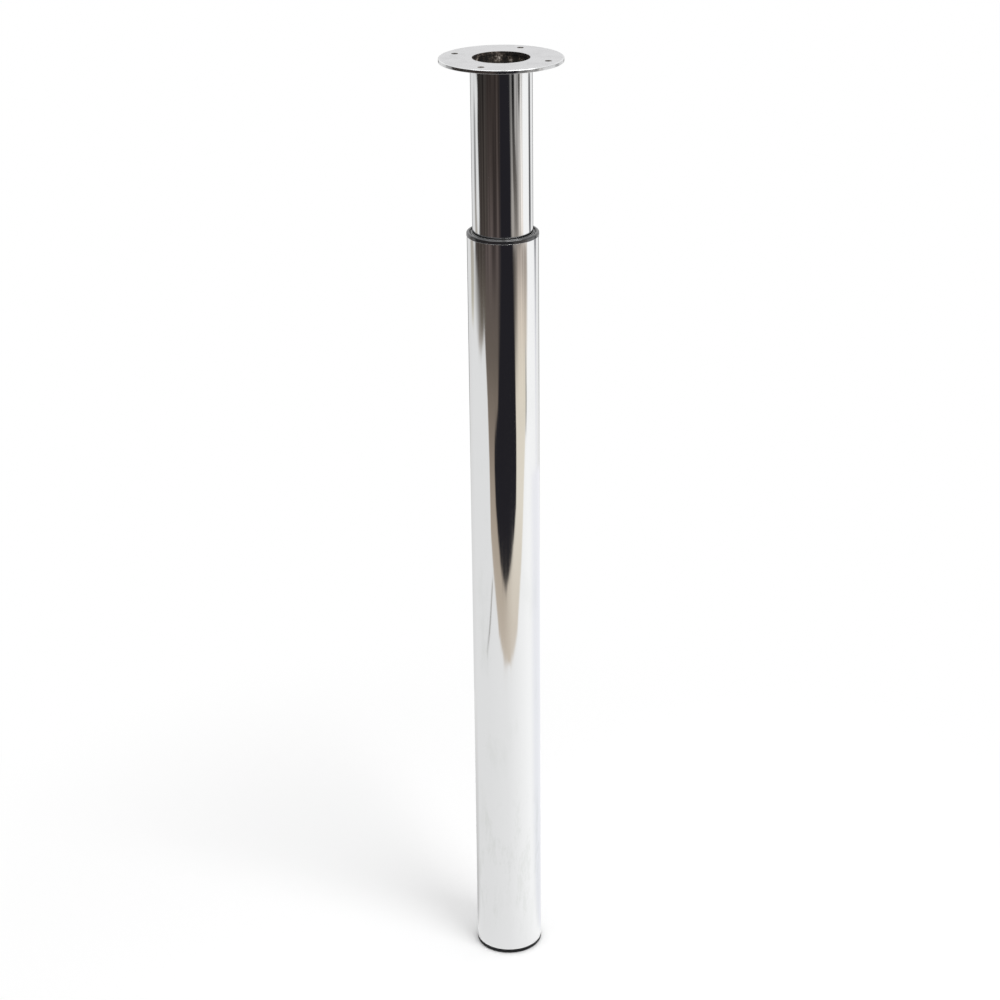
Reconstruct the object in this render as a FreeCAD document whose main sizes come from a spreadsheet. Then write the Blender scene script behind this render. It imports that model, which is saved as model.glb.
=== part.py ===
"""Telescopic table leg with a twist lock inside.

Frame: origin at the middle of the foot's underside, +Z up along the leg, millimetres.
The leg stands at the height that it was left locked at, with the upper tube part way out.
"""

import FreeCAD, Part
import os

import Sketcher

# Driving sizes in millimetres, angles in degrees, counts as plain numbers
SIZES = {
    # Tubes
    "inner_tube_diameter": 50.8,
    "inner_tube_wall": 1.5,
    "inner_tube_length": 465.5,
    "tube_gap": 3.1,
    "outer_tube_wall": 1.5,
    "outer_tube_length": 686,
    "tube_edge_bevel": 0.4,
    # How far the upper leg stands out of the collar
    "leg_extension": 141.5,
    # Flange with its screw holes and weld
    "flange_diameter": 102,
    "flange_thickness": 3,
    "flange_edge_bevel": 0.6,
    "flange_hole_diameter": 47,
    "flange_hole_bevel": 0.3,
    "screw_count": 4,
    "screw_inset": 10,
    "screw_phase": 45,
    "screw_hole_diameter": 5.5,
    "countersink_diameter": 10.5,
    "countersink_depth": 2.2,
    "weld_leg": 3,
    # Collar in the mouth of the outer tube
    "collar_head_height": 3.5,
    "collar_overhang": 0.3,
    "collar_lip_width": 1.3,
    "collar_groove_width": 1.2,
    "collar_groove_depth": 1.2,
    "collar_lip_bevel": 0.5,
    "collar_bead_bevel": 1.1,
    "collar_skirt_length": 58,
    "collar_land_length": 10,
    "collar_relief": 0.6,
    "collar_press_gap": 0.05,
    "collar_running_gap": 0.1,
    # Foot
    "foot_rim_height": 4,
    "foot_edge_bevel": 1.5,
    "foot_recess_diameter": 42,
    "foot_recess_depth": 0.8,
    "foot_floor": 3.5,
    "foot_plug_depth": 24,
    "foot_plug_wall": 2.5,
    "foot_rib_count": 4,
    "foot_rib_width": 2,
    "foot_rib_drop": 6,
    "foot_fin_count": 3,
    "foot_fin_reach": 1.4,
    "foot_fin_thickness": 1.2,
    "foot_fin_start": 3,
    "foot_fin_pitch": 6,
    "foot_press_gap": 0.05,
    # Plug in the lower end of the inner tube
    "plug_depth": 30,
    "plug_floor": 6,
    "plug_wall": 2.5,
    "plug_edge_bevel": 1,
    "plug_press_gap": 0.05,
    "plug_web_count": 6,
    "plug_web_width": 2.4,
    "plug_web_drop": 3,
    "plug_boss_wall": 2.5,
    "shoulder_height": 14,
    "shoulder_core_depth": 9,
    "shoulder_wall": 3,
    "shoulder_guide_gap": 0.3,
    "shoulder_seat_margin": 2,
    # Pins through the inner tube and the plug
    "pin_count": 3,
    "pin_rise": 14,
    "pin_diameter": 4,
    "pin_sink": 0.3,
    "pin_tail": 2.5,
    "pin_hole_gap": 0.05,
    # Spindle, nuts and washers
    "spindle_diameter": 12,
    "spindle_end_chamfer": 1.5,
    "spindle_tail": 3,
    "spindle_hole_gap": 0.3,
    "hex_flats": 18,
    "hex_chamfer": 30,
    "hex_pocket_gap": 0.1,
    "head_height": 7.5,
    "head_pocket_depth": 8,
    "nut_height": 10.8,
    "nut_thread_gap": 0.05,
    "locknut_collar_height": 3.5,
    "locknut_collar_wall": 2.4,
    "washer_diameter": 24,
    "washer_thickness": 2.5,
    "washer_hole_gap": 0.5,
    "thrust_washer_diameter": 40,
    "thrust_washer_thickness": 3,
    # Split sleeve and the cone that spreads it
    "sleeve_length": 42,
    "sleeve_end_wall": 6,
    "sleeve_end_gap": 0.2,
    "sleeve_grip_gap": 0.1,
    "sleeve_mouth_wall": 3,
    "sleeve_edge_bevel": 0.8,
    "sleeve_ring_count": 3,
    "sleeve_ring_start": 7,
    "sleeve_ring_pitch": 9,
    "sleeve_ring_width": 1.6,
    "sleeve_ring_depth": 0.5,
    "slit_count": 6,
    "slit_width": 3,
    "slit_end_margin": 4,
    "slit_end_bevel": 0.9,
    "taper_angle": 9,
    "cone_gap": 0.1,
    "cone_drop": 6,
    "cone_headroom": 4,
    "cone_travel": 3,
    "cone_stop_gap": 0.2,
    "cone_thread_gap": 0.08,
    "cone_wall": 3,
    "cone_roof": 5,
    "cone_boss_wall": 4,
    "cone_web_drop": 2,
    "key_gap": 0.3,
    "key_inset": 1.2,
    "key_headroom": 8,
    # Spare length of cuts past a face, and of webs into a wall
    "cut_margin": 1,
    "web_root": 0.6,
}

# Radii worked out from the driving sizes
INNER_R = "Sizes.inner_tube_diameter / 2"
INNER_BORE_R = f"({INNER_R} - Sizes.inner_tube_wall)"
OUTER_BORE_R = f"({INNER_R} + Sizes.tube_gap)"
OUTER_R = f"({OUTER_BORE_R} + Sizes.outer_tube_wall)"
FLANGE_R = "Sizes.flange_diameter / 2"
SCREW_R = f"({FLANGE_R} - Sizes.screw_inset)"
SPINDLE_R = "Sizes.spindle_diameter / 2"
SPINDLE_HOLE_R = f"({SPINDLE_R} + Sizes.spindle_hole_gap)"
WASHER_HOLE_R = f"({SPINDLE_R} + Sizes.washer_hole_gap)"
HEX_CORNER_R = "(Sizes.hex_flats / 2 / cos(30 * 1 deg))"
HEX_POCKET_R = "((Sizes.hex_flats / 2 + Sizes.hex_pocket_gap) / cos(30 * 1 deg))"
PLUG_R = f"({INNER_BORE_R} - Sizes.plug_press_gap)"
PLUG_CORE_R = f"({PLUG_R} - Sizes.plug_wall)"
PLUG_BOSS_R = f"({HEX_POCKET_R} + Sizes.plug_boss_wall)"
SHOULDER_R = f"({OUTER_BORE_R} - Sizes.shoulder_guide_gap)"
PIN_R = "Sizes.pin_diameter / 2"
PIN_HOLE_R = f"({PIN_R} + Sizes.pin_hole_gap)"
SLEEVE_R = f"({OUTER_BORE_R} - Sizes.sleeve_grip_gap)"
SLEEVE_MOUTH_R = f"({SLEEVE_R} - Sizes.sleeve_mouth_wall)"
TAPER = "tan(Sizes.taper_angle * 1 deg)"

# Heights in the leg's frame, from the floor up to the flange
TUBE_TOP = "(Sizes.foot_rim_height + Sizes.outer_tube_length)"
COLLAR_TOP = f"({TUBE_TOP} + Sizes.collar_head_height)"
FLANGE_BOTTOM = f"({COLLAR_TOP} + Sizes.leg_extension)"
INNER_BOTTOM = f"({FLANGE_BOTTOM} - Sizes.inner_tube_length)"

# Heights of the lock, stacked down from the lower end of the inner tube
SHOULDER_BOTTOM = f"({INNER_BOTTOM} - Sizes.shoulder_height)"
SPINDLE_WASHER_BOTTOM = f"({SHOULDER_BOTTOM} - Sizes.washer_thickness)"
SPINDLE_NUT_BOTTOM = f"({SPINDLE_WASHER_BOTTOM} - Sizes.nut_height)"
THRUST_BOTTOM = f"({SPINDLE_NUT_BOTTOM} - Sizes.thrust_washer_thickness)"
SLEEVE_BOTTOM = f"({THRUST_BOTTOM} - Sizes.sleeve_end_gap - Sizes.sleeve_length)"
CONE_BOTTOM = f"({SLEEVE_BOTTOM} - Sizes.cone_drop)"
STOP_WASHER_TOP = f"({CONE_BOTTOM} - Sizes.cone_travel - Sizes.cone_stop_gap)"
STOP_WASHER_BOTTOM = f"({STOP_WASHER_TOP} - Sizes.washer_thickness)"
STOP_NUT_BOTTOM = f"({STOP_WASHER_BOTTOM} - Sizes.nut_height)"
SPINDLE_BOTTOM = f"({STOP_NUT_BOTTOM} - Sizes.locknut_collar_height - Sizes.spindle_tail)"
HEAD_BOTTOM = f"({INNER_BOTTOM} + Sizes.plug_depth - Sizes.head_pocket_depth)"

# Cone heights above its own foot, with its radius there
CONE_HEIGHT = (
    "(Sizes.cone_drop + Sizes.sleeve_length - Sizes.sleeve_end_wall - Sizes.cone_headroom)"
)
CONE_FOOT_R = f"({SLEEVE_MOUTH_R} - Sizes.cone_gap + Sizes.cone_drop * {TAPER})"
CONE_TOP_R = f"({CONE_FOOT_R} - {CONE_HEIGHT} * {TAPER})"
SLIT_LENGTH = "(Sizes.sleeve_length - Sizes.sleeve_end_wall - Sizes.slit_end_margin)"
KEY_HEIGHT = f"(Sizes.cone_drop + {SLIT_LENGTH} - Sizes.key_headroom)"

doc = FreeCAD.newDocument("TableLeg")
sheet = doc.addObject("Spreadsheet::Sheet", "Sizes")
for row, (alias, value) in enumerate(SIZES.items(), start=1):
    sheet.set(f"A{row}", alias)
    sheet.set(f"B{row}", str(value))
    sheet.setAlias(f"B{row}", alias)
doc.recompute()


def new_body(label, bottom):
    """Body of one sub-part, lifted to its height in the leg."""
    body = doc.addObject("PartDesign::Body", label)
    body.Label = label
    body.AllowCompound = True
    body.setExpression("Placement.Base.z", bottom)
    return body


def origin_feature(body, role):
    """Origin plane or axis of a body, by its role."""
    return next(part for part in body.Origin.OriginFeatures if part.Role == role)


def new_sketch(body, name, plane):
    """Empty sketch on one of the body's own origin planes."""
    sketch = body.newObject("Sketcher::SketchObject", name)
    sketch.AttachmentSupport = [(origin_feature(body, plane), "")]
    sketch.MapMode = "FlatFace"
    return sketch


def pin_point(sketch, edge, end, across, up):
    """Ties one end of an edge to its place across and up in the sketch."""
    places = (("DistanceX", -2, across), ("DistanceY", -1, up))
    for kind, axis, expression in places:
        if expression == "0":
            sketch.addConstraint(Sketcher.Constraint("PointOnObject", edge, end, axis))
            continue
        value = float(sketch.evalExpression(expression))
        index = sketch.addConstraint(Sketcher.Constraint(kind, -1, 1, edge, end, value))
        sketch.setExpression(f"Constraints[{index}]", expression)


def step_towards(corner, distance, here, there):
    """Place at a distance from a corner, along its level or upright edge to another corner."""
    across = there.x - here.x
    up = there.y - here.y
    if abs(across) > abs(up):
        sign = "+" if across > 0 else "-"
        return (f"({corner[0]}) {sign} {distance}", corner[1])
    sign = "+" if up > 0 else "-"
    return (corner[0], f"({corner[1]}) {sign} {distance}")


def plane_point(sketch, corner):
    """Place of a corner in the sketch as a vector."""
    return FreeCAD.Vector(
        float(sketch.evalExpression(corner[0])), float(sketch.evalExpression(corner[1])), 0
    )


def add_outline(sketch, corners):
    """Closed outline of straight edges through the corners.

    A corner is (across, up), or (across, up, bevel) where a level and an upright edge meet.
    """
    values = [plane_point(sketch, corner) for corner in corners]
    places = []
    for index, corner in enumerate(corners):
        if len(corner) == 2:
            places.append(corner)
            continue
        after = (index + 1) % len(corners)
        for other in (index - 1, after):
            places.append(step_towards(corner, corner[2], values[index], values[other]))
    for index, place in enumerate(places):
        start = plane_point(sketch, place)
        finish = plane_point(sketch, places[(index + 1) % len(places)])
        sketch.addGeometry(Part.LineSegment(start, finish), False)
    for edge, place in enumerate(places):
        following = (edge + 1) % len(places)
        sketch.addConstraint(Sketcher.Constraint("Coincident", edge, 2, following, 1))
        pin_point(sketch, edge, 1, *place)


def rectangle(inside, outside, bottom, top):
    """Corners of a rectangle between two radii and two heights."""
    return [(inside, bottom), (outside, bottom), (outside, top), (inside, top)]


def revolve(body, name, corners, kind="Revolution"):
    """Solid or cut turned about the leg's axis from an outline of radius and height."""
    sketch = new_sketch(body, f"{name}Profile", "XZ_Plane")
    add_outline(sketch, corners)
    feature = body.newObject(f"PartDesign::{kind}", name)
    feature.Profile = sketch
    feature.ReferenceAxis = (sketch, ["V_Axis"])
    feature.Angle = 360
    body.Tip = feature
    return feature


def revolve_about(body, name, plane, corners, start, end, kind):
    """Solid or cut turned about the line from start to end, which lies in an upright plane."""
    sketch = new_sketch(body, f"{name}Profile", plane)
    add_outline(sketch, corners)
    line = Part.LineSegment(plane_point(sketch, start), plane_point(sketch, end))
    axis = sketch.addGeometry(line, True)
    pin_point(sketch, axis, 1, *start)
    pin_point(sketch, axis, 2, *end)
    feature = body.newObject(f"PartDesign::{kind}", name)
    feature.Profile = sketch
    feature.ReferenceAxis = (sketch, ["Axis0"])
    feature.Angle = 360
    body.Tip = feature
    return feature


def upright_web(body, name, corners, width):
    """Web from an outline of radius and height, with half its width to each side of it."""
    sketch = new_sketch(body, f"{name}Outline", "XZ_Plane")
    add_outline(sketch, corners)
    feature = body.newObject("PartDesign::Pad", name)
    feature.Profile = sketch
    feature.SideType = "Symmetric"
    feature.setExpression("Length", width)
    body.Tip = feature
    return feature


def around(body, feature, count):
    """Copies of a feature, evenly spaced about the leg's axis."""
    pattern = body.newObject("PartDesign::PolarPattern", f"{feature.Name}Ring")
    pattern.Originals = [feature]
    pattern.Axis = (origin_feature(body, "Z_Axis"), [""])
    pattern.Angle = 360
    pattern.setExpression("Occurrences", count)
    body.Tip = pattern
    return pattern


def along(body, feature, count, pitch):
    """Copies of a feature, evenly spaced up the leg's axis."""
    pattern = body.newObject("PartDesign::LinearPattern", f"{feature.Name}Row")
    pattern.Originals = [feature]
    pattern.Direction = (origin_feature(body, "Z_Axis"), [""])
    pattern.setExpression("Occurrences", count)
    pattern.setExpression("Length", f"({count} - 1) * {pitch}")
    body.Tip = pattern
    return pattern


def hexagon(body, name, corner_radius, height, bottom, kind):
    """Six-sided prism on the leg's axis, added or cut."""
    prism = body.newObject(f"PartDesign::{kind}Prism", name)
    prism.AttachmentSupport = [(origin_feature(body, "XY_Plane"), "")]
    prism.MapMode = "FlatFace"
    prism.Polygon = 6
    prism.setExpression("Circumradius", corner_radius)
    prism.setExpression("Height", height)
    prism.setExpression("AttachmentOffset.Base.z", bottom)
    body.Tip = prism
    return prism


def chamfer_hexagon(body, name, face, direction):
    """Cone-shaped break of a hexagon's corners at a face; direction is "-" for its top face."""
    past_corner = f"({HEX_CORNER_R} + Sizes.cut_margin)"
    drop = f"(({past_corner} - Sizes.hex_flats / 2) * tan(Sizes.hex_chamfer * 1 deg))"
    corners = [
        ("Sizes.hex_flats / 2", face),
        (past_corner, face),
        (past_corner, f"({face}) {direction} {drop}"),
    ]
    return revolve(body, name, corners, "Groove")


def cross_pin(body, name, inside, outside, radius, kind):
    """Solid or cut of the pins that cross the wall of the inner tube, all round it."""
    axis = "Sizes.pin_rise"
    corners = rectangle(inside, outside, axis, f"({axis} + {radius})")
    pin = revolve_about(body, name, "YZ_Plane", corners, *corners[:2], kind)
    return around(body, pin, "Sizes.pin_count")


def ring(label, bottom, hole_radius, outer_radius, thickness):
    """Plain washer."""
    body = new_body(label, bottom)
    revolve(body, "Disc", rectangle(hole_radius, outer_radius, "0", thickness))
    return body


def make_outer_tube():
    """Lower tube, standing on the foot's rim."""
    body = new_body("outer_tube", "Sizes.foot_rim_height")
    corners = [
        (OUTER_BORE_R, "0"),
        (OUTER_R, "0", "Sizes.tube_edge_bevel"),
        (OUTER_R, "Sizes.outer_tube_length", "Sizes.tube_edge_bevel"),
        (OUTER_BORE_R, "Sizes.outer_tube_length"),
    ]
    revolve(body, "Tube", corners)
    return body


def make_inner_tube():
    """Upper tube, with pin holes near its lower end."""
    body = new_body("inner_tube", INNER_BOTTOM)
    corners = [
        (INNER_BORE_R, "0"),
        (INNER_R, "0", "Sizes.tube_edge_bevel"),
        (INNER_R, "Sizes.inner_tube_length"),
        (INNER_BORE_R, "Sizes.inner_tube_length"),
    ]
    revolve(body, "Tube", corners)
    inside = f"({INNER_BORE_R} - Sizes.cut_margin)"
    outside = f"({INNER_R} + Sizes.cut_margin)"
    cross_pin(body, "PinHole", inside, outside, PIN_HOLE_R, "Groove")
    return body


def make_flange_plate():
    """Round plate with a centre hole and screw holes countersunk from below."""
    body = new_body("flange_plate", FLANGE_BOTTOM)
    body.Placement.Rotation = FreeCAD.Rotation(FreeCAD.Vector(0, 0, 1), 0)
    body.setExpression("Placement.Rotation.Angle", "Sizes.screw_phase")
    hole_r = "Sizes.flange_hole_diameter / 2"
    corners = [
        (hole_r, "0", "Sizes.flange_hole_bevel"),
        (FLANGE_R, "0", "Sizes.flange_edge_bevel"),
        (FLANGE_R, "Sizes.flange_thickness", "Sizes.flange_edge_bevel"),
        (hole_r, "Sizes.flange_thickness", "Sizes.flange_hole_bevel"),
    ]
    revolve(body, "Plate", corners)
    sink_edge = f"({SCREW_R} + Sizes.countersink_diameter / 2)"
    hole_edge = f"({SCREW_R} + Sizes.screw_hole_diameter / 2)"
    top = "(Sizes.flange_thickness + Sizes.cut_margin)"
    outline = [
        (SCREW_R, "-Sizes.cut_margin"),
        (sink_edge, "-Sizes.cut_margin"),
        (sink_edge, "0"),
        (hole_edge, "Sizes.countersink_depth"),
        (hole_edge, top),
        (SCREW_R, top),
    ]
    axis = (outline[0], outline[-1])
    hole = revolve_about(body, "ScrewHole", "XZ_Plane", outline, *axis, "Groove")
    around(body, hole, "Sizes.screw_count")
    return body


def make_flange_weld():
    """Fillet weld between the flange and the inner tube."""
    body = new_body("flange_weld", FLANGE_BOTTOM)
    reach = f"({INNER_R} + Sizes.weld_leg)"
    revolve(body, "Bead", [(INNER_R, "0"), (INNER_R, "-Sizes.weld_leg"), (reach, "0")])
    return body


def make_collar_bush():
    """Collar with a beaded head on the tube's mouth and a guiding skirt inside it."""
    body = new_body("collar_bush", TUBE_TOP)
    bore = f"({INNER_R} + Sizes.collar_running_gap)"
    skirt = f"({OUTER_BORE_R} - Sizes.collar_press_gap)"
    head = f"({OUTER_R} + Sizes.collar_overhang)"
    relief = f"({bore} + Sizes.collar_relief)"
    lip = f"({bore} + Sizes.collar_lip_width)"
    bead = f"({lip} + Sizes.collar_groove_width)"
    top = "Sizes.collar_head_height"
    groove = "(Sizes.collar_head_height - Sizes.collar_groove_depth)"
    bottom = "-Sizes.collar_skirt_length"
    upper_land = "(Sizes.collar_head_height - Sizes.collar_land_length)"
    lower_land = "(Sizes.collar_land_length - Sizes.collar_skirt_length)"
    corners = [
        (bore, bottom),
        (skirt, bottom),
        (skirt, "0"),
        (head, "0"),
        (head, top, "Sizes.collar_bead_bevel"),
        (bead, top, "Sizes.collar_lip_bevel"),
        (bead, groove),
        (lip, groove),
        (lip, top, "Sizes.collar_lip_bevel"),
        (bore, top, "Sizes.collar_lip_bevel"),
        (bore, upper_land),
        (relief, upper_land),
        (relief, lower_land),
        (bore, lower_land),
    ]
    revolve(body, "Collar", corners)
    return body


def make_foot_cap():
    """Foot with a thin rim under the tube and a ribbed, finned plug inside it."""
    body = new_body("foot_cap", "0")
    fin_tip = f"({OUTER_BORE_R} - Sizes.foot_press_gap)"
    plug = f"({fin_tip} - Sizes.foot_fin_reach)"
    hollow = f"({plug} - Sizes.foot_plug_wall)"
    recess = "Sizes.foot_recess_diameter / 2"
    top = "(Sizes.foot_rim_height + Sizes.foot_plug_depth)"
    floor = "(Sizes.foot_recess_depth + Sizes.foot_floor)"
    corners = [
        ("0", "Sizes.foot_recess_depth"),
        (recess, "Sizes.foot_recess_depth"),
        (recess, "0"),
        (OUTER_R, "0", "Sizes.foot_edge_bevel"),
        (OUTER_R, "Sizes.foot_rim_height"),
        (plug, "Sizes.foot_rim_height"),
        (plug, top),
        (hollow, top),
        (hollow, floor),
        ("0", floor),
    ]
    revolve(body, "Cup", corners)
    fin_bottom = "(Sizes.foot_rim_height + Sizes.foot_fin_start)"
    fin_top = f"({fin_bottom} + Sizes.foot_fin_thickness)"
    root = f"({plug} - Sizes.web_root)"
    first_fin = revolve(body, "Fin", rectangle(root, fin_tip, fin_bottom, fin_top))
    along(body, first_fin, "Sizes.foot_fin_count", "Sizes.foot_fin_pitch")
    rib_bottom = f"({floor} - Sizes.web_root)"
    rib_top = f"({top} - Sizes.foot_rib_drop)"
    end = f"({hollow} + Sizes.web_root)"
    outline = rectangle("0", end, rib_bottom, rib_top)
    rib = upright_web(body, "Rib", outline, "Sizes.foot_rib_width")
    around(body, rib, "Sizes.foot_rib_count")
    return body


def make_lock_plug():
    """Moulded plug: cored insert with webs in the tube, guide shoulder below it, hex pocket."""
    body = new_body("lock_plug", INNER_BOTTOM)
    bottom = "-Sizes.shoulder_height"
    core_roof = "(Sizes.shoulder_core_depth - Sizes.shoulder_height)"
    seat = "(Sizes.washer_diameter / 2 + Sizes.shoulder_seat_margin)"
    skirt = f"({SHOULDER_R} - Sizes.shoulder_wall)"
    corners = [
        (SPINDLE_HOLE_R, bottom),
        (seat, bottom),
        (seat, core_roof),
        (skirt, core_roof),
        (skirt, bottom),
        (SHOULDER_R, bottom, "Sizes.plug_edge_bevel"),
        (SHOULDER_R, "0", "Sizes.plug_edge_bevel"),
        (PLUG_R, "0"),
        (PLUG_R, "Sizes.plug_depth", "Sizes.plug_edge_bevel"),
        (PLUG_CORE_R, "Sizes.plug_depth"),
        (PLUG_CORE_R, "Sizes.plug_floor"),
        (PLUG_BOSS_R, "Sizes.plug_floor"),
        (PLUG_BOSS_R, "Sizes.plug_depth"),
        (SPINDLE_HOLE_R, "Sizes.plug_depth"),
    ]
    revolve(body, "Moulding", corners)
    inside = f"({PLUG_BOSS_R} - Sizes.web_root)"
    outside = f"({PLUG_CORE_R} + Sizes.web_root)"
    outline = rectangle(inside, outside, "0", "(Sizes.plug_depth - Sizes.plug_web_drop)")
    web = upright_web(body, "Web", outline, "Sizes.plug_web_width")
    around(body, web, "Sizes.plug_web_count")
    pocket_height = "Sizes.head_pocket_depth + Sizes.cut_margin"
    pocket_floor = "Sizes.plug_depth - Sizes.head_pocket_depth"
    hexagon(body, "HeadPocket", HEX_POCKET_R, pocket_height, pocket_floor, "Subtractive")
    inside = f"({PLUG_CORE_R} - Sizes.cut_margin)"
    outside = f"({PLUG_R} + Sizes.cut_margin)"
    cross_pin(body, "PinHole", inside, outside, PIN_HOLE_R, "Groove")
    return body


def make_plug_pins():
    """Pins through the inner tube and the plug's wall, sunk below the tube's face."""
    body = new_body("plug_pins", INNER_BOTTOM)
    inside = f"({PLUG_CORE_R} - Sizes.pin_tail)"
    outside = f"({INNER_R} - Sizes.pin_sink)"
    cross_pin(body, "Pin", inside, outside, PIN_R, "Revolution")
    return body


def make_lock_spindle():
    """Hex-headed spindle: the head sits in the plug's pocket, the shank hangs down."""
    body = new_body("lock_spindle", HEAD_BOTTOM)
    tip = f"({SPINDLE_BOTTOM} - {HEAD_BOTTOM})"
    corners = [
        ("0", tip),
        (f"({SPINDLE_R} - Sizes.spindle_end_chamfer)", tip),
        (SPINDLE_R, f"({tip} + Sizes.spindle_end_chamfer)"),
        (SPINDLE_R, "0"),
        ("0", "0"),
    ]
    revolve(body, "Shank", corners)
    hexagon(body, "Head", HEX_CORNER_R, "Sizes.head_height", "0", "Additive")
    chamfer_hexagon(body, "HeadChamfer", "Sizes.head_height", "-")
    return body


def hex_nut(label, bottom):
    """Body with a chamfered hexagon, not yet bored."""
    body = new_body(label, bottom)
    hexagon(body, "Hexagon", HEX_CORNER_R, "Sizes.nut_height", "0", "Additive")
    chamfer_hexagon(body, "TopChamfer", "Sizes.nut_height", "-")
    chamfer_hexagon(body, "BottomChamfer", "0", "+")
    return body


def bore_nut(body, bottom):
    """Cuts the thread's bore through a nut, from below its bottom to above its hexagon."""
    bore = f"({SPINDLE_R} + Sizes.nut_thread_gap)"
    low = f"({bottom} - Sizes.cut_margin)"
    high = "(Sizes.nut_height + Sizes.cut_margin)"
    return revolve(body, "Bore", rectangle("0", bore, low, high), "Groove")


def make_spindle_nut():
    """Plain hex nut that clamps the spindle to the plug."""
    body = hex_nut("spindle_nut", SPINDLE_NUT_BOTTOM)
    bore_nut(body, "0")
    return body


def make_stop_nut():
    """Lock nut with a round collar at its lower end, which keeps the cone on the spindle."""
    body = hex_nut("stop_nut", STOP_NUT_BOTTOM)
    collar = f"({SPINDLE_R} + Sizes.locknut_collar_wall)"
    bottom = "-Sizes.locknut_collar_height"
    revolve(body, "Collar", rectangle("0", collar, bottom, "Sizes.web_root"))
    bore_nut(body, bottom)
    return body


def make_expander_sleeve():
    """Split sleeve: tapered bore, slits up from its mouth, shallow grip rings outside."""
    body = new_body("expander_sleeve", SLEEVE_BOTTOM)
    wall_bottom = "(Sizes.sleeve_length - Sizes.sleeve_end_wall)"
    taper_top = f"({SLEEVE_MOUTH_R} - {wall_bottom} * {TAPER})"
    corners = [
        (SLEEVE_MOUTH_R, "0"),
        (SLEEVE_R, "0", "Sizes.sleeve_edge_bevel"),
        (SLEEVE_R, "Sizes.sleeve_length", "Sizes.sleeve_edge_bevel"),
        (WASHER_HOLE_R, "Sizes.sleeve_length"),
        (WASHER_HOLE_R, wall_bottom),
        (taper_top, wall_bottom),
    ]
    revolve(body, "Sleeve", corners)
    ring_floor = f"({SLEEVE_R} - Sizes.sleeve_ring_depth)"
    ring_past = f"({SLEEVE_R} + Sizes.cut_margin)"
    ring_bottom = "Sizes.sleeve_ring_start"
    ring_top = "(Sizes.sleeve_ring_start + Sizes.sleeve_ring_width)"
    groove = rectangle(ring_floor, ring_past, ring_bottom, ring_top)
    first_ring = revolve(body, "GripRing", groove, "Groove")
    along(body, first_ring, "Sizes.sleeve_ring_count", "Sizes.sleeve_ring_pitch")
    half = "Sizes.slit_width / 2"
    bevel = "Sizes.slit_end_bevel"
    outline = [
        (f"-{half}", "-Sizes.cut_margin"),
        (half, "-Sizes.cut_margin"),
        (half, SLIT_LENGTH, bevel),
        (f"-{half}", SLIT_LENGTH, bevel),
    ]
    sketch = new_sketch(body, "SlitOutline", "YZ_Plane")
    add_outline(sketch, outline)
    slit = body.newObject("PartDesign::Pocket", "Slit")
    slit.Profile = sketch
    slit.Reversed = True
    slit.setExpression("Length", f"({SLEEVE_R} + Sizes.cut_margin)")
    body.Tip = slit
    around(body, slit, "Sizes.slit_count")
    return body


def make_expander_cone():
    """Cone on the spindle's thread: cored from below, webbed, with keys in the sleeve's slits."""
    body = new_body("expander_cone", CONE_BOTTOM)
    bore = f"({SPINDLE_R} + Sizes.cone_thread_gap)"
    boss = f"({bore} + Sizes.cone_boss_wall)"
    roof = f"({CONE_HEIGHT} - Sizes.cone_roof)"
    core_top = f"({CONE_FOOT_R} - {roof} * {TAPER} - Sizes.cone_wall)"
    core_foot = f"({CONE_FOOT_R} - Sizes.cone_wall)"
    corners = [
        (bore, "0"),
        (boss, "0"),
        (boss, roof),
        (core_top, roof),
        (core_foot, "0"),
        (CONE_FOOT_R, "0"),
        (CONE_TOP_R, CONE_HEIGHT),
        (bore, CONE_HEIGHT),
    ]
    revolve(body, "Cone", corners)
    key_width = "(Sizes.slit_width - 2 * Sizes.key_gap)"
    inside = f"({boss} - Sizes.web_root)"
    outside = f"({CONE_FOOT_R} - {roof} * {TAPER} - Sizes.web_root)"
    web_top = f"({roof} + Sizes.web_root)"
    outline = rectangle(inside, outside, "Sizes.cone_web_drop", web_top)
    around(body, upright_web(body, "Web", outline, key_width), "Sizes.slit_count")
    tip = f"({SLEEVE_R} - Sizes.key_inset)"
    root = f"({CONE_FOOT_R} - {KEY_HEIGHT} * {TAPER} - Sizes.cone_wall / 2)"
    outline = rectangle(root, tip, "0", KEY_HEIGHT)
    around(body, upright_web(body, "Key", outline, key_width), "Sizes.slit_count")
    return body


subparts = [
    make_outer_tube(),
    make_inner_tube(),
    make_flange_plate(),
    make_flange_weld(),
    make_collar_bush(),
    make_foot_cap(),
    make_lock_plug(),
    make_plug_pins(),
    make_lock_spindle(),
    ring(
        "spindle_washer",
        SPINDLE_WASHER_BOTTOM,
        WASHER_HOLE_R,
        "Sizes.washer_diameter / 2",
        "Sizes.washer_thickness",
    ),
    make_spindle_nut(),
    ring(
        "thrust_washer",
        THRUST_BOTTOM,
        WASHER_HOLE_R,
        "Sizes.thrust_washer_diameter / 2",
        "Sizes.thrust_washer_thickness",
    ),
    make_expander_sleeve(),
    make_expander_cone(),
    ring(
        "stop_washer",
        STOP_WASHER_BOTTOM,
        WASHER_HOLE_R,
        "Sizes.washer_diameter / 2",
        "Sizes.washer_thickness",
    ),
    make_stop_nut(),
]
doc.recompute()

for item in doc.Objects:
    if "Invalid" in item.State or "Error" in item.State:
        raise RuntimeError(f"{item.Label} failed: {item.State}")
for body in subparts:
    if body.Shape.isNull() or not body.Shape.isValid():
        raise RuntimeError(f"{body.Label} has no valid shape")

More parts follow.
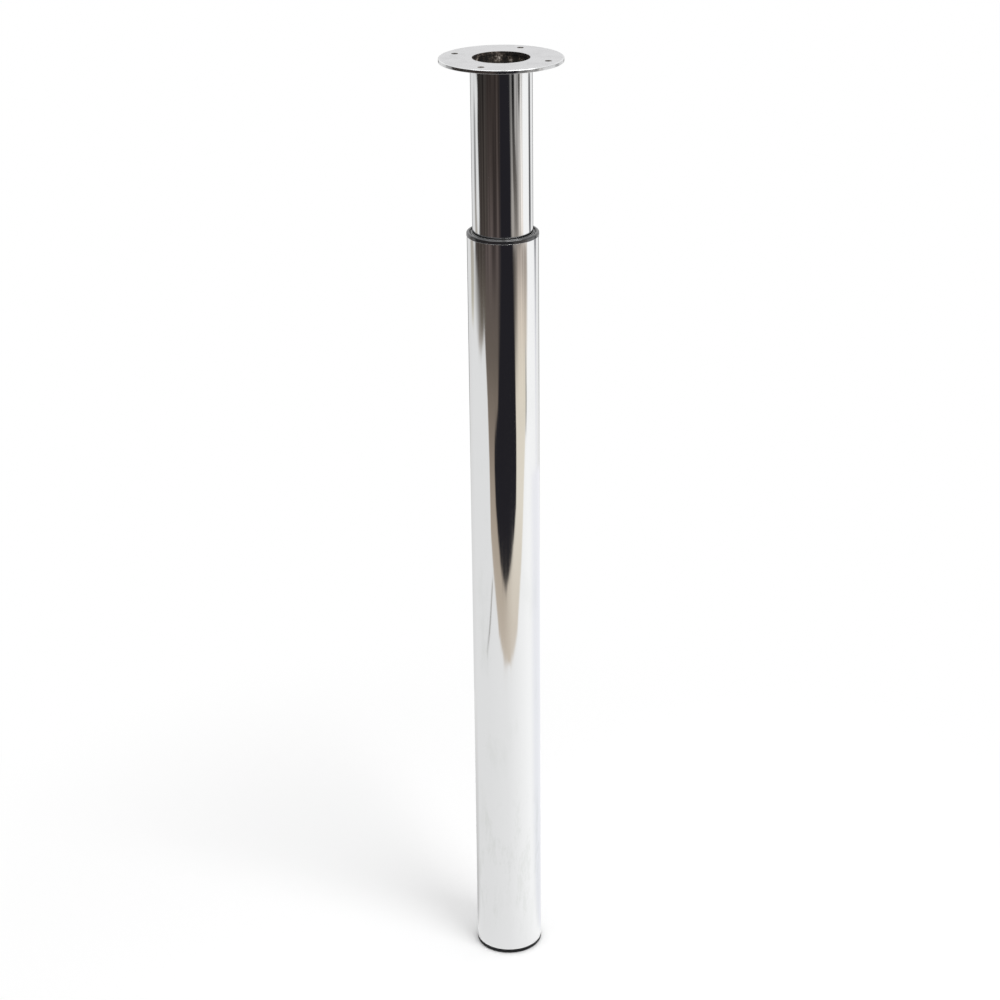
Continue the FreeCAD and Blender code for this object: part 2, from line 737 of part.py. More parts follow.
os.makedirs("parts", exist_ok=True)
for body in subparts:
    body.Shape.exportStep(f"parts/{body.Label}.step")
    solids = len(body.Shape.Solids)
    box = body.Shape.BoundBox
    print(f"{body.Label}: {solids} solid, {body.Shape.Volume:.1f} mm3, z {box.ZMin:.2f} to {box.ZMax:.2f}")
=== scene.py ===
"""Dresses the telescopic table leg: chromed tubes, a satin flange, black mouldings and the lock inside.

Lengths are in metres in the part's own frame: origin under the middle of the foot, +Z up the leg.
"""

import logging
import math
from collections.abc import Sequence
from dataclasses import dataclass
from enum import Enum, IntEnum

import bmesh
import bpy
from mathutils import Matrix, Vector, noise
from mathutils.geometry import tessellate_polygon


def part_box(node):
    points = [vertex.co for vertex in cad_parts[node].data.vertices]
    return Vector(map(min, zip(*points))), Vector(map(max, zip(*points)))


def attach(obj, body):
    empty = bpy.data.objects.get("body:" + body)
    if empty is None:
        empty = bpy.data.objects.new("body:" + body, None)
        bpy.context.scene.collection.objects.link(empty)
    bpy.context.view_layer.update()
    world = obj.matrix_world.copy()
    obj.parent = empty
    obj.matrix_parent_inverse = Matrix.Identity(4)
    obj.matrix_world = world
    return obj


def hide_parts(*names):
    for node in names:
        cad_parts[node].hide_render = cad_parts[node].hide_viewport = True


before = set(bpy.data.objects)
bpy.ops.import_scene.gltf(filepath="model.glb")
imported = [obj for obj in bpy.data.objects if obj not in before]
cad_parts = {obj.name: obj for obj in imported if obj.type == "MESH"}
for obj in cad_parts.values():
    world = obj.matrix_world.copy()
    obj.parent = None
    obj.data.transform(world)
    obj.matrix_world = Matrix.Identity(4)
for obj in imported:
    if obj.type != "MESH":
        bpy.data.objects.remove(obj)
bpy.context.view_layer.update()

log = logging.getLogger("table_leg")

Colour = tuple[float, float, float]
Triple = tuple[float, float, float]
Place = tuple[float, float]
Span = tuple[float, float]
Rows = tuple[tuple[float, ...], ...]
Socket = bpy.types.NodeSocket
Material = bpy.types.Material
Piece = bpy.types.Object

MILLIMETRE = 0.001
FULL_TURN = 360
UP = Vector((0, 0, 1))
WHITE = (1.0, 1.0, 1.0, 1.0)
# Corners that fall in one cell of a tenth of a micrometre are one corner
WELD_STEPS = 1e7
# Corners of neighbouring cells that are nearer than this are joined when the mesh is made
SEAM_GAP = 2e-7
# Straight pieces that a quarter turn of a rounded corner is made of
ROUNDING_STEPS = 8


class Body(Enum):
    """Moving bodies of the leg."""

    LOWER_LEG = "lower_leg"
    UPPER_LEG = "upper_leg"


class Slot(Enum):
    """Material slots of the part's record."""

    CHROME = "chrome_tube"
    FLANGE = "flange_steel"
    COLLAR = "collar_plastic"
    FOOT = "foot_plastic"
    LOCK_STEEL = "lock_steel"


class Facing(Enum):
    """Ways that a flat face can look."""

    UP = 1
    DOWN = -1


class TubeSide(IntEnum):
    """Numbers of a tube's finishes."""

    OUTSIDE = 0
    INSIDE = 1


class PlateSide(IntEnum):
    """Numbers of the flange plate's finishes."""

    FACE = 0
    RIM = 1
    HOLE = 2
    SCREW_HOLE = 3


@dataclass(frozen=True)
class Cloud:
    """Cloudy pattern of a finish.

    Attributes:
        scale: Patches to a metre along each axis.
        layers: Number of finer layers.
        roughness: Strength of the finer layers.
        limits: Values of the pattern between which it sets in.
    """

    scale: Triple
    layers: float = 3.0
    roughness: float = 0.5
    limits: Span = (0.3, 0.7)


class NodeSheet:
    """Node tree of one material or of the world, filled from empty."""

    def __init__(self, tree: bpy.types.NodeTree) -> None:
        """Empties the tree.

        Args:
            tree: Node tree to fill.
        """
        self.tree = tree
        tree.nodes.clear()

    def add(self, kind: str, inputs: dict | None = None, **settings: object) -> bpy.types.Node:
        """Adds a node and sets it.

        Args:
            kind: Blender's name of the node's type.
            inputs: Socket names with a plain value, or with the socket that feeds them.
            settings: Properties of the node itself.

        Returns:
            The new node.
        """
        node = self.tree.nodes.new(kind)
        for name, value in settings.items():
            setattr(node, name, value)
        for name, value in (inputs or {}).items():
            if isinstance(value, Socket):
                self.tree.links.new(value, node.inputs[name])
            else:
                node.inputs[name].default_value = value
        return node

    def coordinates(self) -> Socket:
        """Coordinates of a point in the part's frame."""
        return self.add("ShaderNodeTexCoord").outputs["Object"]

    def stretched(self, scale: Triple) -> Socket:
        """Coordinates of a point, stretched by a scale along each axis."""
        inputs = {"Vector": self.coordinates(), "Scale": scale}
        return self.add("ShaderNodeMapping", inputs).outputs["Vector"]

    def height(self) -> Socket:
        """Height of a point above the floor."""
        return self.add("ShaderNodeSeparateXYZ", {"Vector": self.coordinates()}).outputs["Z"]

    def axis_distance(self) -> Socket:
        """Distance of a point from the leg's axis."""
        flat = self.stretched((1, 1, 0))
        return self.add("ShaderNodeVectorMath", {0: flat}, operation="LENGTH").outputs["Value"]

    def noise(self, cloud: Cloud) -> Socket:
        """Pattern of a cloud on the piece, about a half on average.

        Args:
            cloud: Scale and layers of the pattern.

        Returns:
            The pattern.
        """
        inputs = {
            "Vector": self.stretched(cloud.scale),
            "Scale": 1.0,
            "Detail": cloud.layers,
            "Roughness": cloud.roughness,
        }
        return self.add("ShaderNodeTexNoise", inputs).outputs["Fac"]

    def spread(self, pattern: Socket, limits: Span, values: Span = (0.0, 1.0)) -> Socket:
        """Maps a pattern smoothly between two values, and holds it there.

        Args:
            pattern: What is mapped.
            limits: Values of the pattern where the change starts and ends.
            values: Results there.

        Returns:
            The mapped pattern.
        """
        inputs = {
            "Value": pattern,
            "From Min": limits[0],
            "From Max": limits[1],
            "To Min": values[0],
            "To Max": values[1],
        }
        return self.add("ShaderNodeMapRange", inputs, interpolation_type="SMOOTHSTEP").outputs["Result"]

    def share(self, cloud: Cloud, values: Span = (0.0, 1.0)) -> Socket:
        """Pattern of a cloud, mapped from the cloud's limits to two values."""
        return self.spread(self.noise(cloud), cloud.limits, values)

    def product(self, first: Socket, second: Socket) -> Socket:
        """Product of two values."""
        return self.add("ShaderNodeMath", {0: first, 1: second}, operation="MULTIPLY").outputs["Value"]

    def larger(self, first: Socket, second: Socket) -> Socket:
        """Larger of two values."""
        return self.add("ShaderNodeMath", {0: first, 1: second}, operation="MAXIMUM").outputs["Value"]

    def blend(self, share: Socket, first: Colour, second: Colour) -> Socket:
        """Mixes two colours.

        Args:
            share: Share of the second colour.
            first: Colour where the share is nought.
            second: Colour where it is one.

        Returns:
            The mixed colour.
        """
        node = self.add("ShaderNodeMix", data_type="RGBA")
        self.tree.links.new(share, node.inputs["Factor"])
        colours = [socket for socket in node.inputs if socket.type == "RGBA"]
        colours[0].default_value = (*first, 1)
        colours[1].default_value = (*second, 1)
        return next(socket for socket in node.outputs if socket.type == "RGBA")

    def ramp(self, share: Socket, stops: Sequence[tuple[float, Colour]]) -> Socket:
        """Takes a colour from a row of stops.

        Args:
            share: Where on the row the colour is taken.
            stops: Positions from 0 to 1 with their colours.

        Returns:
            The colour.
        """
        node = self.add("ShaderNodeValToRGB", {"Fac": share})
        elements = node.color_ramp.elements
        while len(elements) < len(stops):
            elements.new(1.0)
        for element, (position, colour) in zip(elements, stops):
            element.position = position
            element.color = (*colour, 1)
        return node.outputs["Color"]

    def bump(self, height: Socket, depth: float) -> Socket:
        """Normal of a surface with a relief of that depth."""
        inputs = {"Height": height, "Distance": depth, "Strength": 1.0}
        return self.add("ShaderNodeBump", inputs).outputs["Normal"]

    def glow(self, colour: object, strength: float = 1.0) -> Socket:
        """Shader that shines in a colour."""
        return self.add("ShaderNodeEmission", {"Color": colour, "Strength": strength}).outputs["Emission"]

    def mix(self, share: Socket, first: Socket, second: Socket) -> Socket:
        """Shader between two, by a share."""
        return self.add("ShaderNodeMixShader", {0: share, 1: first, 2: second}).outputs["Shader"]

    def show(self, shader: Socket) -> None:
        """Ends a material's tree with what its surface shows."""
        self.add("ShaderNodeOutputMaterial", {"Surface": shader})

    def seen_directly(self) -> Socket:
        """Tells which rays show a surface as it is.

        Returns:
            One for rays from the camera and from mirror-like or clear surfaces, else nought.
        """
        rays = self.add("ShaderNodeLightPath").outputs
        shown = self.larger(rays["Is Camera Ray"], rays["Is Glossy Ray"])
        return self.larger(shown, rays["Is Transmission Ray"])


def new_material(name: str) -> tuple[Material, NodeSheet]:
    """Makes an empty node material.

    Args:
        name: Name of the material.

    Returns:
        The material and its sheet.
    """
    material = bpy.data.materials.new(name)
    material.use_nodes = True
    return material, NodeSheet(material.node_tree)


@dataclass(frozen=True)
class Finish:
    """Finish of a surface. Each kind of finish gives the inputs of its shader."""

    name: str

    def inputs(self, sheet: NodeSheet) -> dict[str, object]:
        """Inputs of the shader, made on a sheet."""
        raise NotImplementedError

    def material(self) -> Material:
        """Makes the finish.

        Returns:
            Its material.
        """
        material, sheet = new_material(self.name)
        surface = sheet.add("ShaderNodeBsdfPrincipled", self.inputs(sheet))
        sheet.show(surface.outputs["BSDF"])
        return material


@dataclass(frozen=True)
class ChromeFinish(Finish):
    """Bright chrome plating over drawn tube, with faint polishing haze and draw lines."""

    clean: Colour = (0.82, 0.825, 0.828)
    hazed: Colour = (0.77, 0.773, 0.773)
    gloss: Span = (0.035, 0.08)
    haze: Cloud = Cloud((34.0, 34.0, 9.0), 5, 0.62, (0.52, 0.78))
    lines: Cloud = Cloud((700.0, 700.0, 2.5), 2)
    ripple: Cloud = Cloud((16.0, 16.0, 2.2), 1)
    ripple_depth: float = 0.000012
    smears: Cloud = Cloud((110.0, 110.0, 30.0), 7, 0.68, (0.47, 0.66))
    smear_heights: Span | None = None
    smear_fade: float = 0.04

    def smear_share(self, sheet: NodeSheet) -> Socket:
        """Cloudy marks in the band of heights where the tube is handled.

        Args:
            sheet: Sheet that the finish is made on.

        Returns:
            Share of the marks.
        """
        low, high = self.smear_heights
        height = sheet.height()
        above = sheet.spread(height, (low, low + self.smear_fade))
        below = sheet.spread(height, (high - self.smear_fade, high), (1.0, 0.0))
        return sheet.product(sheet.share(self.smears), sheet.product(above, below))

    def inputs(self, sheet: NodeSheet) -> dict[str, object]:
        """Mirror, dulled a little by the haze and along the draw lines.

        Args:
            sheet: Sheet that the finish is made on.

        Returns:
            Inputs of the shader.
        """
        haze = sheet.share(self.haze)
        if self.smear_heights:
            haze = sheet.larger(haze, self.smear_share(sheet))
        return {
            "Base Color": sheet.blend(haze, self.clean, self.hazed),
            "Metallic": 1.0,
            "Roughness": sheet.share(self.lines, self.gloss),
            "Normal": sheet.bump(sheet.noise(self.ripple), self.ripple_depth),
        }


@dataclass(frozen=True)
class SatinSteelFinish(Finish):
    """Plated steel plate with a turned satin face."""

    pale: Colour = (0.64, 0.64, 0.65)
    grey: Colour = (0.54, 0.54, 0.55)
    gloss: Span = (0.26, 0.36)
    stains: Cloud = Cloud((70.0, 70.0, 70.0), 6, 0.65, (0.42, 0.8))
    turning_lines: float = 2600.0
    turning_layers: float = 2.0
    turning_limits: Span = (0.3, 0.7)
    turning_depth: float = 0.000004

    def inputs(self, sheet: NodeSheet) -> dict[str, object]:
        """Satin metal with rings about the leg's axis.

        Args:
            sheet: Sheet that the finish is made on.

        Returns:
            Inputs of the shader.
        """
        rings = {"W": sheet.axis_distance(), "Scale": self.turning_lines, "Detail": self.turning_layers}
        turning = sheet.add("ShaderNodeTexNoise", rings, noise_dimensions="1D").outputs["Fac"]
        return {
            "Base Color": sheet.blend(sheet.share(self.stains), self.pale, self.grey),
            "Metallic": 1.0,
            "Roughness": sheet.spread(turning, self.turning_limits, self.gloss),
            "Normal": sheet.bump(turning, self.turning_depth),
        }


@dataclass(frozen=True)
class BareSteelFinish(Finish):
    """Unplated rolled steel, dark with scale and brown with thin rust."""

    scale_stops: tuple[tuple[float, Colour], ...] = (
        (0.42, (0.006, 0.005, 0.005)),
        (0.52, (0.035, 0.027, 0.021)),
        (0.58, (0.17, 0.14, 0.115)),
        (0.64, (0.72, 0.66, 0.60)),
    )
    metal_share: float = 0.35
    gloss: Span = (0.7, 0.38)
    patches: Cloud = Cloud((190.0, 190.0, 150.0), 8, 0.7, (0.35, 0.7))
    grain: Cloud = Cloud((900.0, 900.0, 500.0), 4, 0.6)
    grain_depth: float = 0.00012

    def inputs(self, sheet: NodeSheet) -> dict[str, object]:
        """Patchy steel, duller where it is dark.

        Args:
            sheet: Sheet that the finish is made on.

        Returns:
            Inputs of the shader.
        """
        patches = sheet.noise(self.patches)
        return {
            "Base Color": sheet.ramp(patches, self.scale_stops),
            "Metallic": self.metal_share,
            "Roughness": sheet.spread(patches, self.patches.limits, self.gloss),
            "Normal": sheet.bump(sheet.noise(self.grain), self.grain_depth),
        }


@dataclass(frozen=True)
class MouldedPlasticFinish(Finish):
    """Injection-moulded plastic with the mould's grain and slight flow marks."""

    colour: Colour
    flow_colour: Colour
    gloss: Span
    sheen: float = 0.5
    refraction: float = 1.5
    flow: Cloud = Cloud((120.0, 120.0, 60.0), 4, 0.55)
    grain: Cloud = Cloud((1800.0, 1800.0, 1800.0), 2)
    grain_depth: float = 0.00001

    def inputs(self, sheet: NodeSheet) -> dict[str, object]:
        """Plastic whose colour and gloss follow the flow marks.

        Args:
            sheet: Sheet that the finish is made on.

        Returns:
            Inputs of the shader.
        """
        flow = sheet.noise(self.flow)
        return {
            "Base Color": sheet.blend(flow, self.colour, self.flow_colour),
            "Roughness": sheet.spread(flow, self.flow.limits, self.gloss),
            "IOR": self.refraction,
            "Specular IOR Level": self.sheen,
            "Normal": sheet.bump(sheet.noise(self.grain), self.grain_depth),
        }


@dataclass(frozen=True)
class ZincFinish(Finish):
    """Bright zinc plating with a faint blue and straw passivation."""

    blue: Colour = (0.66, 0.68, 0.71)
    straw: Colour = (0.71, 0.68, 0.58)
    gloss: Span = (0.22, 0.42)
    patches: Cloud = Cloud((160.0, 160.0, 110.0), 5, 0.6)
    grain: Cloud = Cloud((2400.0, 2400.0, 2400.0), 3)
    grain_depth: float = 0.000006

    def inputs(self, sheet: NodeSheet) -> dict[str, object]:
        """Grained metal in patches of two tints.

        Args:
            sheet: Sheet that the finish is made on.

        Returns:
            Inputs of the shader.
        """
        grain = sheet.noise(self.grain)
        return {
            "Base Color": sheet.blend(sheet.noise(self.patches), self.blue, self.straw),
            "Metallic": 1.0,
            "Roughness": sheet.spread(grain, self.grain.limits, self.gloss),
            "Normal": sheet.bump(grain, self.grain_depth),
        }


@dataclass(frozen=True)
class Corner:
    """Corner of a turned outline, with the rounding there and the finish of the stretch after it."""

    radius: float
    height: float
    rounding: float = 0.0
    finish: int = 0


@dataclass(frozen=True)
class Station:
    """Point of a turned outline with the normals of the stretches before and after it."""

    place: Vector
    before: Vector
    after: Vector
    finish: int


@dataclass(frozen=True)
class TurnedOutline:
    """Outline of radius and height that is turned about an upright axis, with the solid on its left."""

    corners: tuple[Corner, ...]
    closed: bool = True

    def stations(self) -> list[Station]:
        """Points of the outline, its rounded corners divided into short stretches.

        Returns:
            The points in order, with the first repeated at the end of a closed outline.
        """
        places = [Vector((corner.radius, corner.height)) for corner in self.corners]
        found: list[Station] = []
        for number, corner in enumerate(self.corners):
            here = places[number]
            last = places[number - 1]
            following = places[(number + 1) % len(places)]
            finish_before = self.corners[number - 1].finish
            if not self.closed and number == 0:
                last = here * 2 - following
            if not self.closed and number == len(places) - 1:
                following = here * 2 - last
            arriving = (here - last).normalized()
            leaving = (following - here).normalized()
            before = Vector((arriving.y, -arriving.x))
            after = Vector((leaving.y, -leaving.x))
            if corner.rounding == 0:
                found.append(Station(here, before, after, corner.finish))
                continue
            found += self.rounded(here, before, after, corner, finish_before)
        if self.closed:
            found.append(found[0])
        return found

    def rounded(
        self, here: Vector, before: Vector, after: Vector, corner: Corner, finish_before: int
    ) -> list[Station]:
        """Points of one rounded corner.

        Args:
            here: Where the sharp corner would be.
            before: Normal of the stretch before it.
            after: Normal of the stretch after it.
            corner: The corner itself.
            finish_before: Finish of the stretch before it, which the rounding takes.

        Returns:
            The points along the rounding.
        """
        turn = before.angle_signed(after)
        inward = (before + after).normalized()
        bulge = 1 if turn < 0 else -1
        centre = here - inward * bulge * corner.rounding / math.cos(turn / 2)
        steps = max(2, math.ceil(abs(turn) / (math.pi / 2) * ROUNDING_STEPS))
        points = []
        for step in range(steps + 1):
            normal = before.copy()
            normal.rotate(Matrix.Rotation(-turn * step / steps, 2))
            finish = corner.finish if step == steps else finish_before
            points.append(Station(centre + normal * bulge * corner.rounding, normal, normal, finish))
        return points


class Surface:
    """Faces of one piece, gathered with their exact normals before its mesh is made."""

    def __init__(self) -> None:
        """Starts with no faces."""
        self.points: list[Vector] = []
        self.known: dict[tuple[int, ...], int] = {}
        self.faces: list[list[int]] = []
        self.normals: list[Vector] = []
        self.finishes: list[int] = []

    def point(self, place: Vector) -> int:
        """Finds the point at a place, and adds it if it is new.

        Args:
            place: Where the point is.

        Returns:
            Number of the point.
        """
        key = tuple(round(value * WELD_STEPS) for value in place)
        if key not in self.known:
            self.known[key] = len(self.points)
            self.points.append(place)
        return self.known[key]

    def add_face(self, places: Sequence[Vector], normals: Sequence[Vector], finish: int = 0) -> None:
        """Adds a face, unless fewer than three of its corners are apart.

        Args:
            places: Corners in counter-clockwise order, seen from outside.
            normals: Normal at each corner.
            finish: Number of the finish in the piece's list.
        """
        corners: list[int] = []
        kept: list[Vector] = []
        for place, normal in zip(places, normals):
            number = self.point(place)
            if number not in corners:
                corners.append(number)
                kept.append(normal)
        if len(corners) > 2:
            self.faces.append(corners)
            self.normals += kept
            self.finishes.append(finish)

    def add_turned(self, outline: TurnedOutline, steps: int, centre: Place = (0.0, 0.0)) -> None:
        """Turns an outline about an upright axis.

        Args:
            outline: What is turned.
            steps: Straight pieces of the full circle.
            centre: Where the axis stands.
        """
        stations = outline.stations()
        middle = Vector((*centre, 0))
        spokes = [Vector((*place, 0)) for place in circle(1, steps)]
        for low, high in zip(stations, stations[1:]):
            for step, spoke in enumerate(spokes):
                following = spokes[(step + 1) % steps]
                corners = (
                    (low, low.after, spoke),
                    (low, low.after, following),
                    (high, high.before, following),
                    (high, high.before, spoke),
                )
                places = [middle + end.place.x * arm + end.place.y * UP for end, _, arm in corners]
                normals = [side.x * arm + side.y * UP for _, side, arm in corners]
                self.add_face(places, normals, low.finish)

    def add_flat(
        self, loops: Sequence[Sequence[Place]], height: float, facing: Facing, finish: int = 0
    ) -> None:
        """Adds a level face with holes.

        Args:
            loops: Outer outline, then the outlines of the holes.
            height: Height of the face.
            facing: Which way it looks.
            finish: Number of the finish in the piece's list.
        """
        rings = [[Vector((*place, height)) for place in loop] for loop in loops]
        places = [place for ring in rings for place in ring]
        normal = UP * facing.value
        for triangle in tessellate_polygon(rings):
            corners = [places[number] for number in triangle]
            lean = (corners[1] - corners[0]).cross(corners[2] - corners[0])
            if lean.dot(normal) < 0:
                corners.reverse()
            self.add_face(corners, [normal] * 3, finish)

    def add_prism(self, outline: Sequence[Place], bottom: float, top: float, finish: int = 0) -> None:
        """Adds an upright prism.

        Args:
            outline: Corners in counter-clockwise order, seen from above.
            bottom: Height of its lower face.
            top: Height of its upper face.
            finish: Number of the finish in the piece's list.
        """
        self.add_flat([outline], bottom, Facing.DOWN, finish)
        self.add_flat([outline], top, Facing.UP, finish)
        for start, end in zip(outline, [*outline[1:], outline[0]]):
            along = Vector((end[0] - start[0], end[1] - start[1]))
            normal = Vector((along.y, -along.x, 0)).normalized()
            corners = ((start, bottom), (end, bottom), (end, top), (start, top))
            self.add_face([Vector((*place, height)) for place, height in corners], [normal] * 4, finish)

    def make(self, name: str, finishes: Sequence[Material]) -> Piece:
        """Makes the piece.

        Args:
            name: Name of the piece.
            finishes: Materials that the faces' finish numbers point to.

        Returns:
            The piece, in the scene.
        """
        mesh = bpy.data.meshes.new(name)
        mesh.from_pydata(self.points, [], self.faces)
        seams = bmesh.new()
        seams.from_mesh(mesh)
        bmesh.ops.remove_doubles(seams, verts=seams.verts, dist=SEAM_GAP)
        seams.to_mesh(mesh)
        seams.free()
        for material in finishes:
            mesh.materials.append(material)
        mesh.polygons.foreach_set("material_index", self.finishes)
        mesh.polygons.foreach_set("use_smooth", [True] * len(self.faces))
        mesh.normals_split_custom_set([normal.normalized() for normal in self.normals])
        piece = bpy.data.objects.new(name, mesh)
        bpy.context.scene.collection.objects.link(piece)
        return piece

    def stand_for(self, node: str, ending: str, finishes: Sequence[Finish], body: Body) -> Piece:
        """Makes the piece and puts it in the place of a node of the part.

        Args:
            node: Node that it stands for.
            ending: End of its name, after the node's.
            finishes: What the faces' finish numbers point to.
            body: Body that it moves with.

        Returns:
            The piece.
        """
        piece = self.make(f"{node}_{ending}", [finish.material() for finish in finishes])
        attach(piece, body.value)
        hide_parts(node)
        return piece


def circle(radius: float, steps: int, centre: Place = (0.0, 0.0), phase: float = 0.0) -> list[Place]:
    """Corners of a level circle, counter-clockwise from its phase."""
    turns = [phase + math.tau * step / steps for step in range(steps)]
    return [(centre[0] + radius * math.cos(turn), centre[1] + radius * math.sin(turn)) for turn in turns]


def paint_node(node: str, material: Material) -> Piece:
    """Gives a node of the part its finish.

    Args:
        node: Name of the node.
        material: Finish.

    Returns:
        The node's object.
    """
    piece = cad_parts[node]
    piece.data.materials.clear()
    piece.data.materials.append(material)
    return piece


def heights(node: str) -> Span:
    """Lowest and highest point of a node of the part."""
    low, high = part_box(node)
    return low.z, high.z


@dataclass
class Tube:
    """Chromed tube, bare steel inside."""

    node: str
    body: Body
    outer_radius: float
    bore_radius: float
    edge_rounding: float = 0.25 * MILLIMETRE
    steps: int = 360
    outside: ChromeFinish = ChromeFinish("tube_chrome")
    inside: BareSteelFinish = BareSteelFinish("bare_tube_steel")

    def outline(self) -> TurnedOutline:
        """Section of the wall: chrome outside and on the lower end, bare steel on top and in the bore.

        Returns:
            The section.
        """
        bottom, top = heights(self.node)
        edge = self.edge_rounding
        return TurnedOutline(
            (
                Corner(self.outer_radius, bottom, edge, TubeSide.OUTSIDE),
                Corner(self.outer_radius, top, edge, TubeSide.INSIDE),
                Corner(self.bore_radius, top, edge, TubeSide.INSIDE),
                Corner(self.bore_radius, bottom, edge, TubeSide.OUTSIDE),
            )
        )

    def build(self) -> list[Piece]:
        """Makes the tube and dresses it.

        Returns:
            The tube, alone in a list.
        """
        surface = Surface()
        surface.add_turned(self.outline(), self.steps)
        return [surface.stand_for(self.node, "chromed", (self.outside, self.inside), self.body)]


@dataclass
class Flange:
    """Round screw plate with its weld to the inner tube."""

    radius: float = 51 * MILLIMETRE
    hole_radius: float = 23.5 * MILLIMETRE
    edge_rounding: float = 0.7 * MILLIMETRE
    under_rounding: float = 0.2 * MILLIMETRE
    hole_rounding: float = 0.25 * MILLIMETRE
    screw_count: int = 4
    screw_phase: float = math.radians(45)
    screw_circle_radius: float = 41 * MILLIMETRE
    screw_hole_radius: float = 2.75 * MILLIMETRE
    screw_edge: float = 0.1 * MILLIMETRE
    sink_radius: float = 5.25 * MILLIMETRE
    sink_depth: float = 2.2 * MILLIMETRE
    steps: int = 240
    screw_steps: int = 48
    tube_radius: float = 25.4 * MILLIMETRE
    weld_leg: float = 3 * MILLIMETRE
    weld_bulge: float = 0.3 * MILLIMETRE
    weld_ripple: float = 0.12 * MILLIMETRE
    weld_scales: int = 64
    weld_scale_bow: float = 0.35
    weld_scale_level: float = 0.6
    weld_slope: float = math.radians(45)
    weld_steps: int = 768
    weld_rows: int = 10
    face: SatinSteelFinish = SatinSteelFinish("flange_satin")
    rim: ChromeFinish = ChromeFinish(
        "flange_rim", clean=(0.78, 0.785, 0.79), hazed=(0.72, 0.725, 0.73), gloss=(0.10, 0.18)
    )
    # Bare steel, its stops darkened below the tube's bore as painted shade in the centre hole.
    hole: BareSteelFinish = BareSteelFinish(
        "bare_hole_steel_painted_shade",
        ((0.42, (0.006, 0.005, 0.005)), (0.52, (0.035, 0.027, 0.021)), (0.64, (0.20, 0.165, 0.14))),
    )
    # Bare steel, its stops darkened below the tube's bore as painted shade in the screw holes.
    screw_hole: BareSteelFinish = BareSteelFinish(
        "bare_screw_hole_steel_painted_shade",
        ((0.42, (0.03, 0.026, 0.024)), (0.52, (0.08, 0.07, 0.06)), (0.64, (0.34, 0.31, 0.28))),
    )
    bead: ChromeFinish = ChromeFinish("weld_chrome", gloss=(0.16, 0.3))

    def screw_places(self) -> list[Place]:
        """Middles of the screw holes."""
        return circle(self.screw_circle_radius, self.screw_count, phase=self.screw_phase)

    def build(self) -> list[Piece]:
        """Makes the plate and the weld."""
        return [self.plate(), self.weld()]

    def plate(self) -> Piece:
        """Plate with a rounded rim, a centre hole and screw holes countersunk from below.

        Returns:
            The plate.
        """
        bottom, top = heights("flange_plate")
        surface = Surface()
        rim_edge = self.radius - self.edge_rounding
        rim = (
            Corner(rim_edge, bottom, finish=PlateSide.RIM),
            Corner(self.radius, bottom, self.under_rounding, PlateSide.RIM),
            Corner(self.radius, top, self.edge_rounding, PlateSide.RIM),
            Corner(rim_edge, top),
        )
        hole_edge = self.hole_radius + self.hole_rounding
        hole = (
            Corner(hole_edge, top, finish=PlateSide.HOLE),
            Corner(self.hole_radius, top, self.hole_rounding, PlateSide.HOLE),
            Corner(self.hole_radius, bottom, self.hole_rounding, PlateSide.HOLE),
            Corner(hole_edge, bottom),
        )
        for corners in (rim, hole):
            surface.add_turned(TurnedOutline(corners, closed=False), self.steps)
        screw_edge = self.screw_hole_radius + self.screw_edge
        screw_hole = (
            Corner(screw_edge, top, finish=PlateSide.SCREW_HOLE),
            Corner(self.screw_hole_radius, top - self.screw_edge, finish=PlateSide.SCREW_HOLE),
            Corner(self.screw_hole_radius, bottom + self.sink_depth, finish=PlateSide.SCREW_HOLE),
            Corner(self.sink_radius, bottom),
        )
        for place in self.screw_places():
            surface.add_turned(TurnedOutline(screw_hole, closed=False), self.screw_steps, place)
        faces = ((top, screw_edge, Facing.UP), (bottom, self.sink_radius, Facing.DOWN))
        for height, screw_radius, facing in faces:
            loops = [circle(rim_edge, self.steps), circle(hole_edge, self.steps)]
            loops += [circle(screw_radius, self.screw_steps, place) for place in self.screw_places()]
            surface.add_flat(loops, height, facing, PlateSide.FACE)
        finishes = (self.face, self.rim, self.hole, self.screw_hole)
        return surface.stand_for("flange_plate", "satin", finishes, Body.UPPER_LEG)

    def weld(self) -> Piece:
        """Fillet weld with overlapping scales, chromed over with the tube.

        Returns:
            The weld.
        """
        top = heights("flange_weld")[1]
        surface = Surface()
        rows = [row / self.weld_rows for row in range(self.weld_rows + 1)]
        turns = [math.tau * step / self.weld_steps for step in range(self.weld_steps)]
        rings = [[self.weld_point(turn, row, top) for row in rows] for turn in turns]
        for number, ring in enumerate(rings):
            following = rings[(number + 1) % len(rings)]
            before = rings[number - 1]
            after = rings[(number + 2) % len(rings)]
            for row in range(self.weld_rows):
                corners = (
                    (ring, row, before, following),
                    (following, row, ring, after),
                    (following, row + 1, ring, after),
                    (ring, row + 1, before, following),
                )
                places = [at[level] for at, level, _, _ in corners]
                normals = [
                    (ahead[level] - behind[level]).cross(
                        at[min(level + 1, self.weld_rows)] - at[max(level - 1, 0)]
                    )
                    for at, level, behind, ahead in corners
                ]
                surface.add_face(places, normals)
        back = (
            Corner(self.tube_radius + self.weld_leg, top),
            Corner(self.tube_radius, top),
            Corner(self.tube_radius, top - self.weld_leg),
        )
        surface.add_turned(TurnedOutline(back, closed=False), self.weld_steps)
        return surface.stand_for("flange_weld", "bead", (self.bead,), Body.UPPER_LEG)

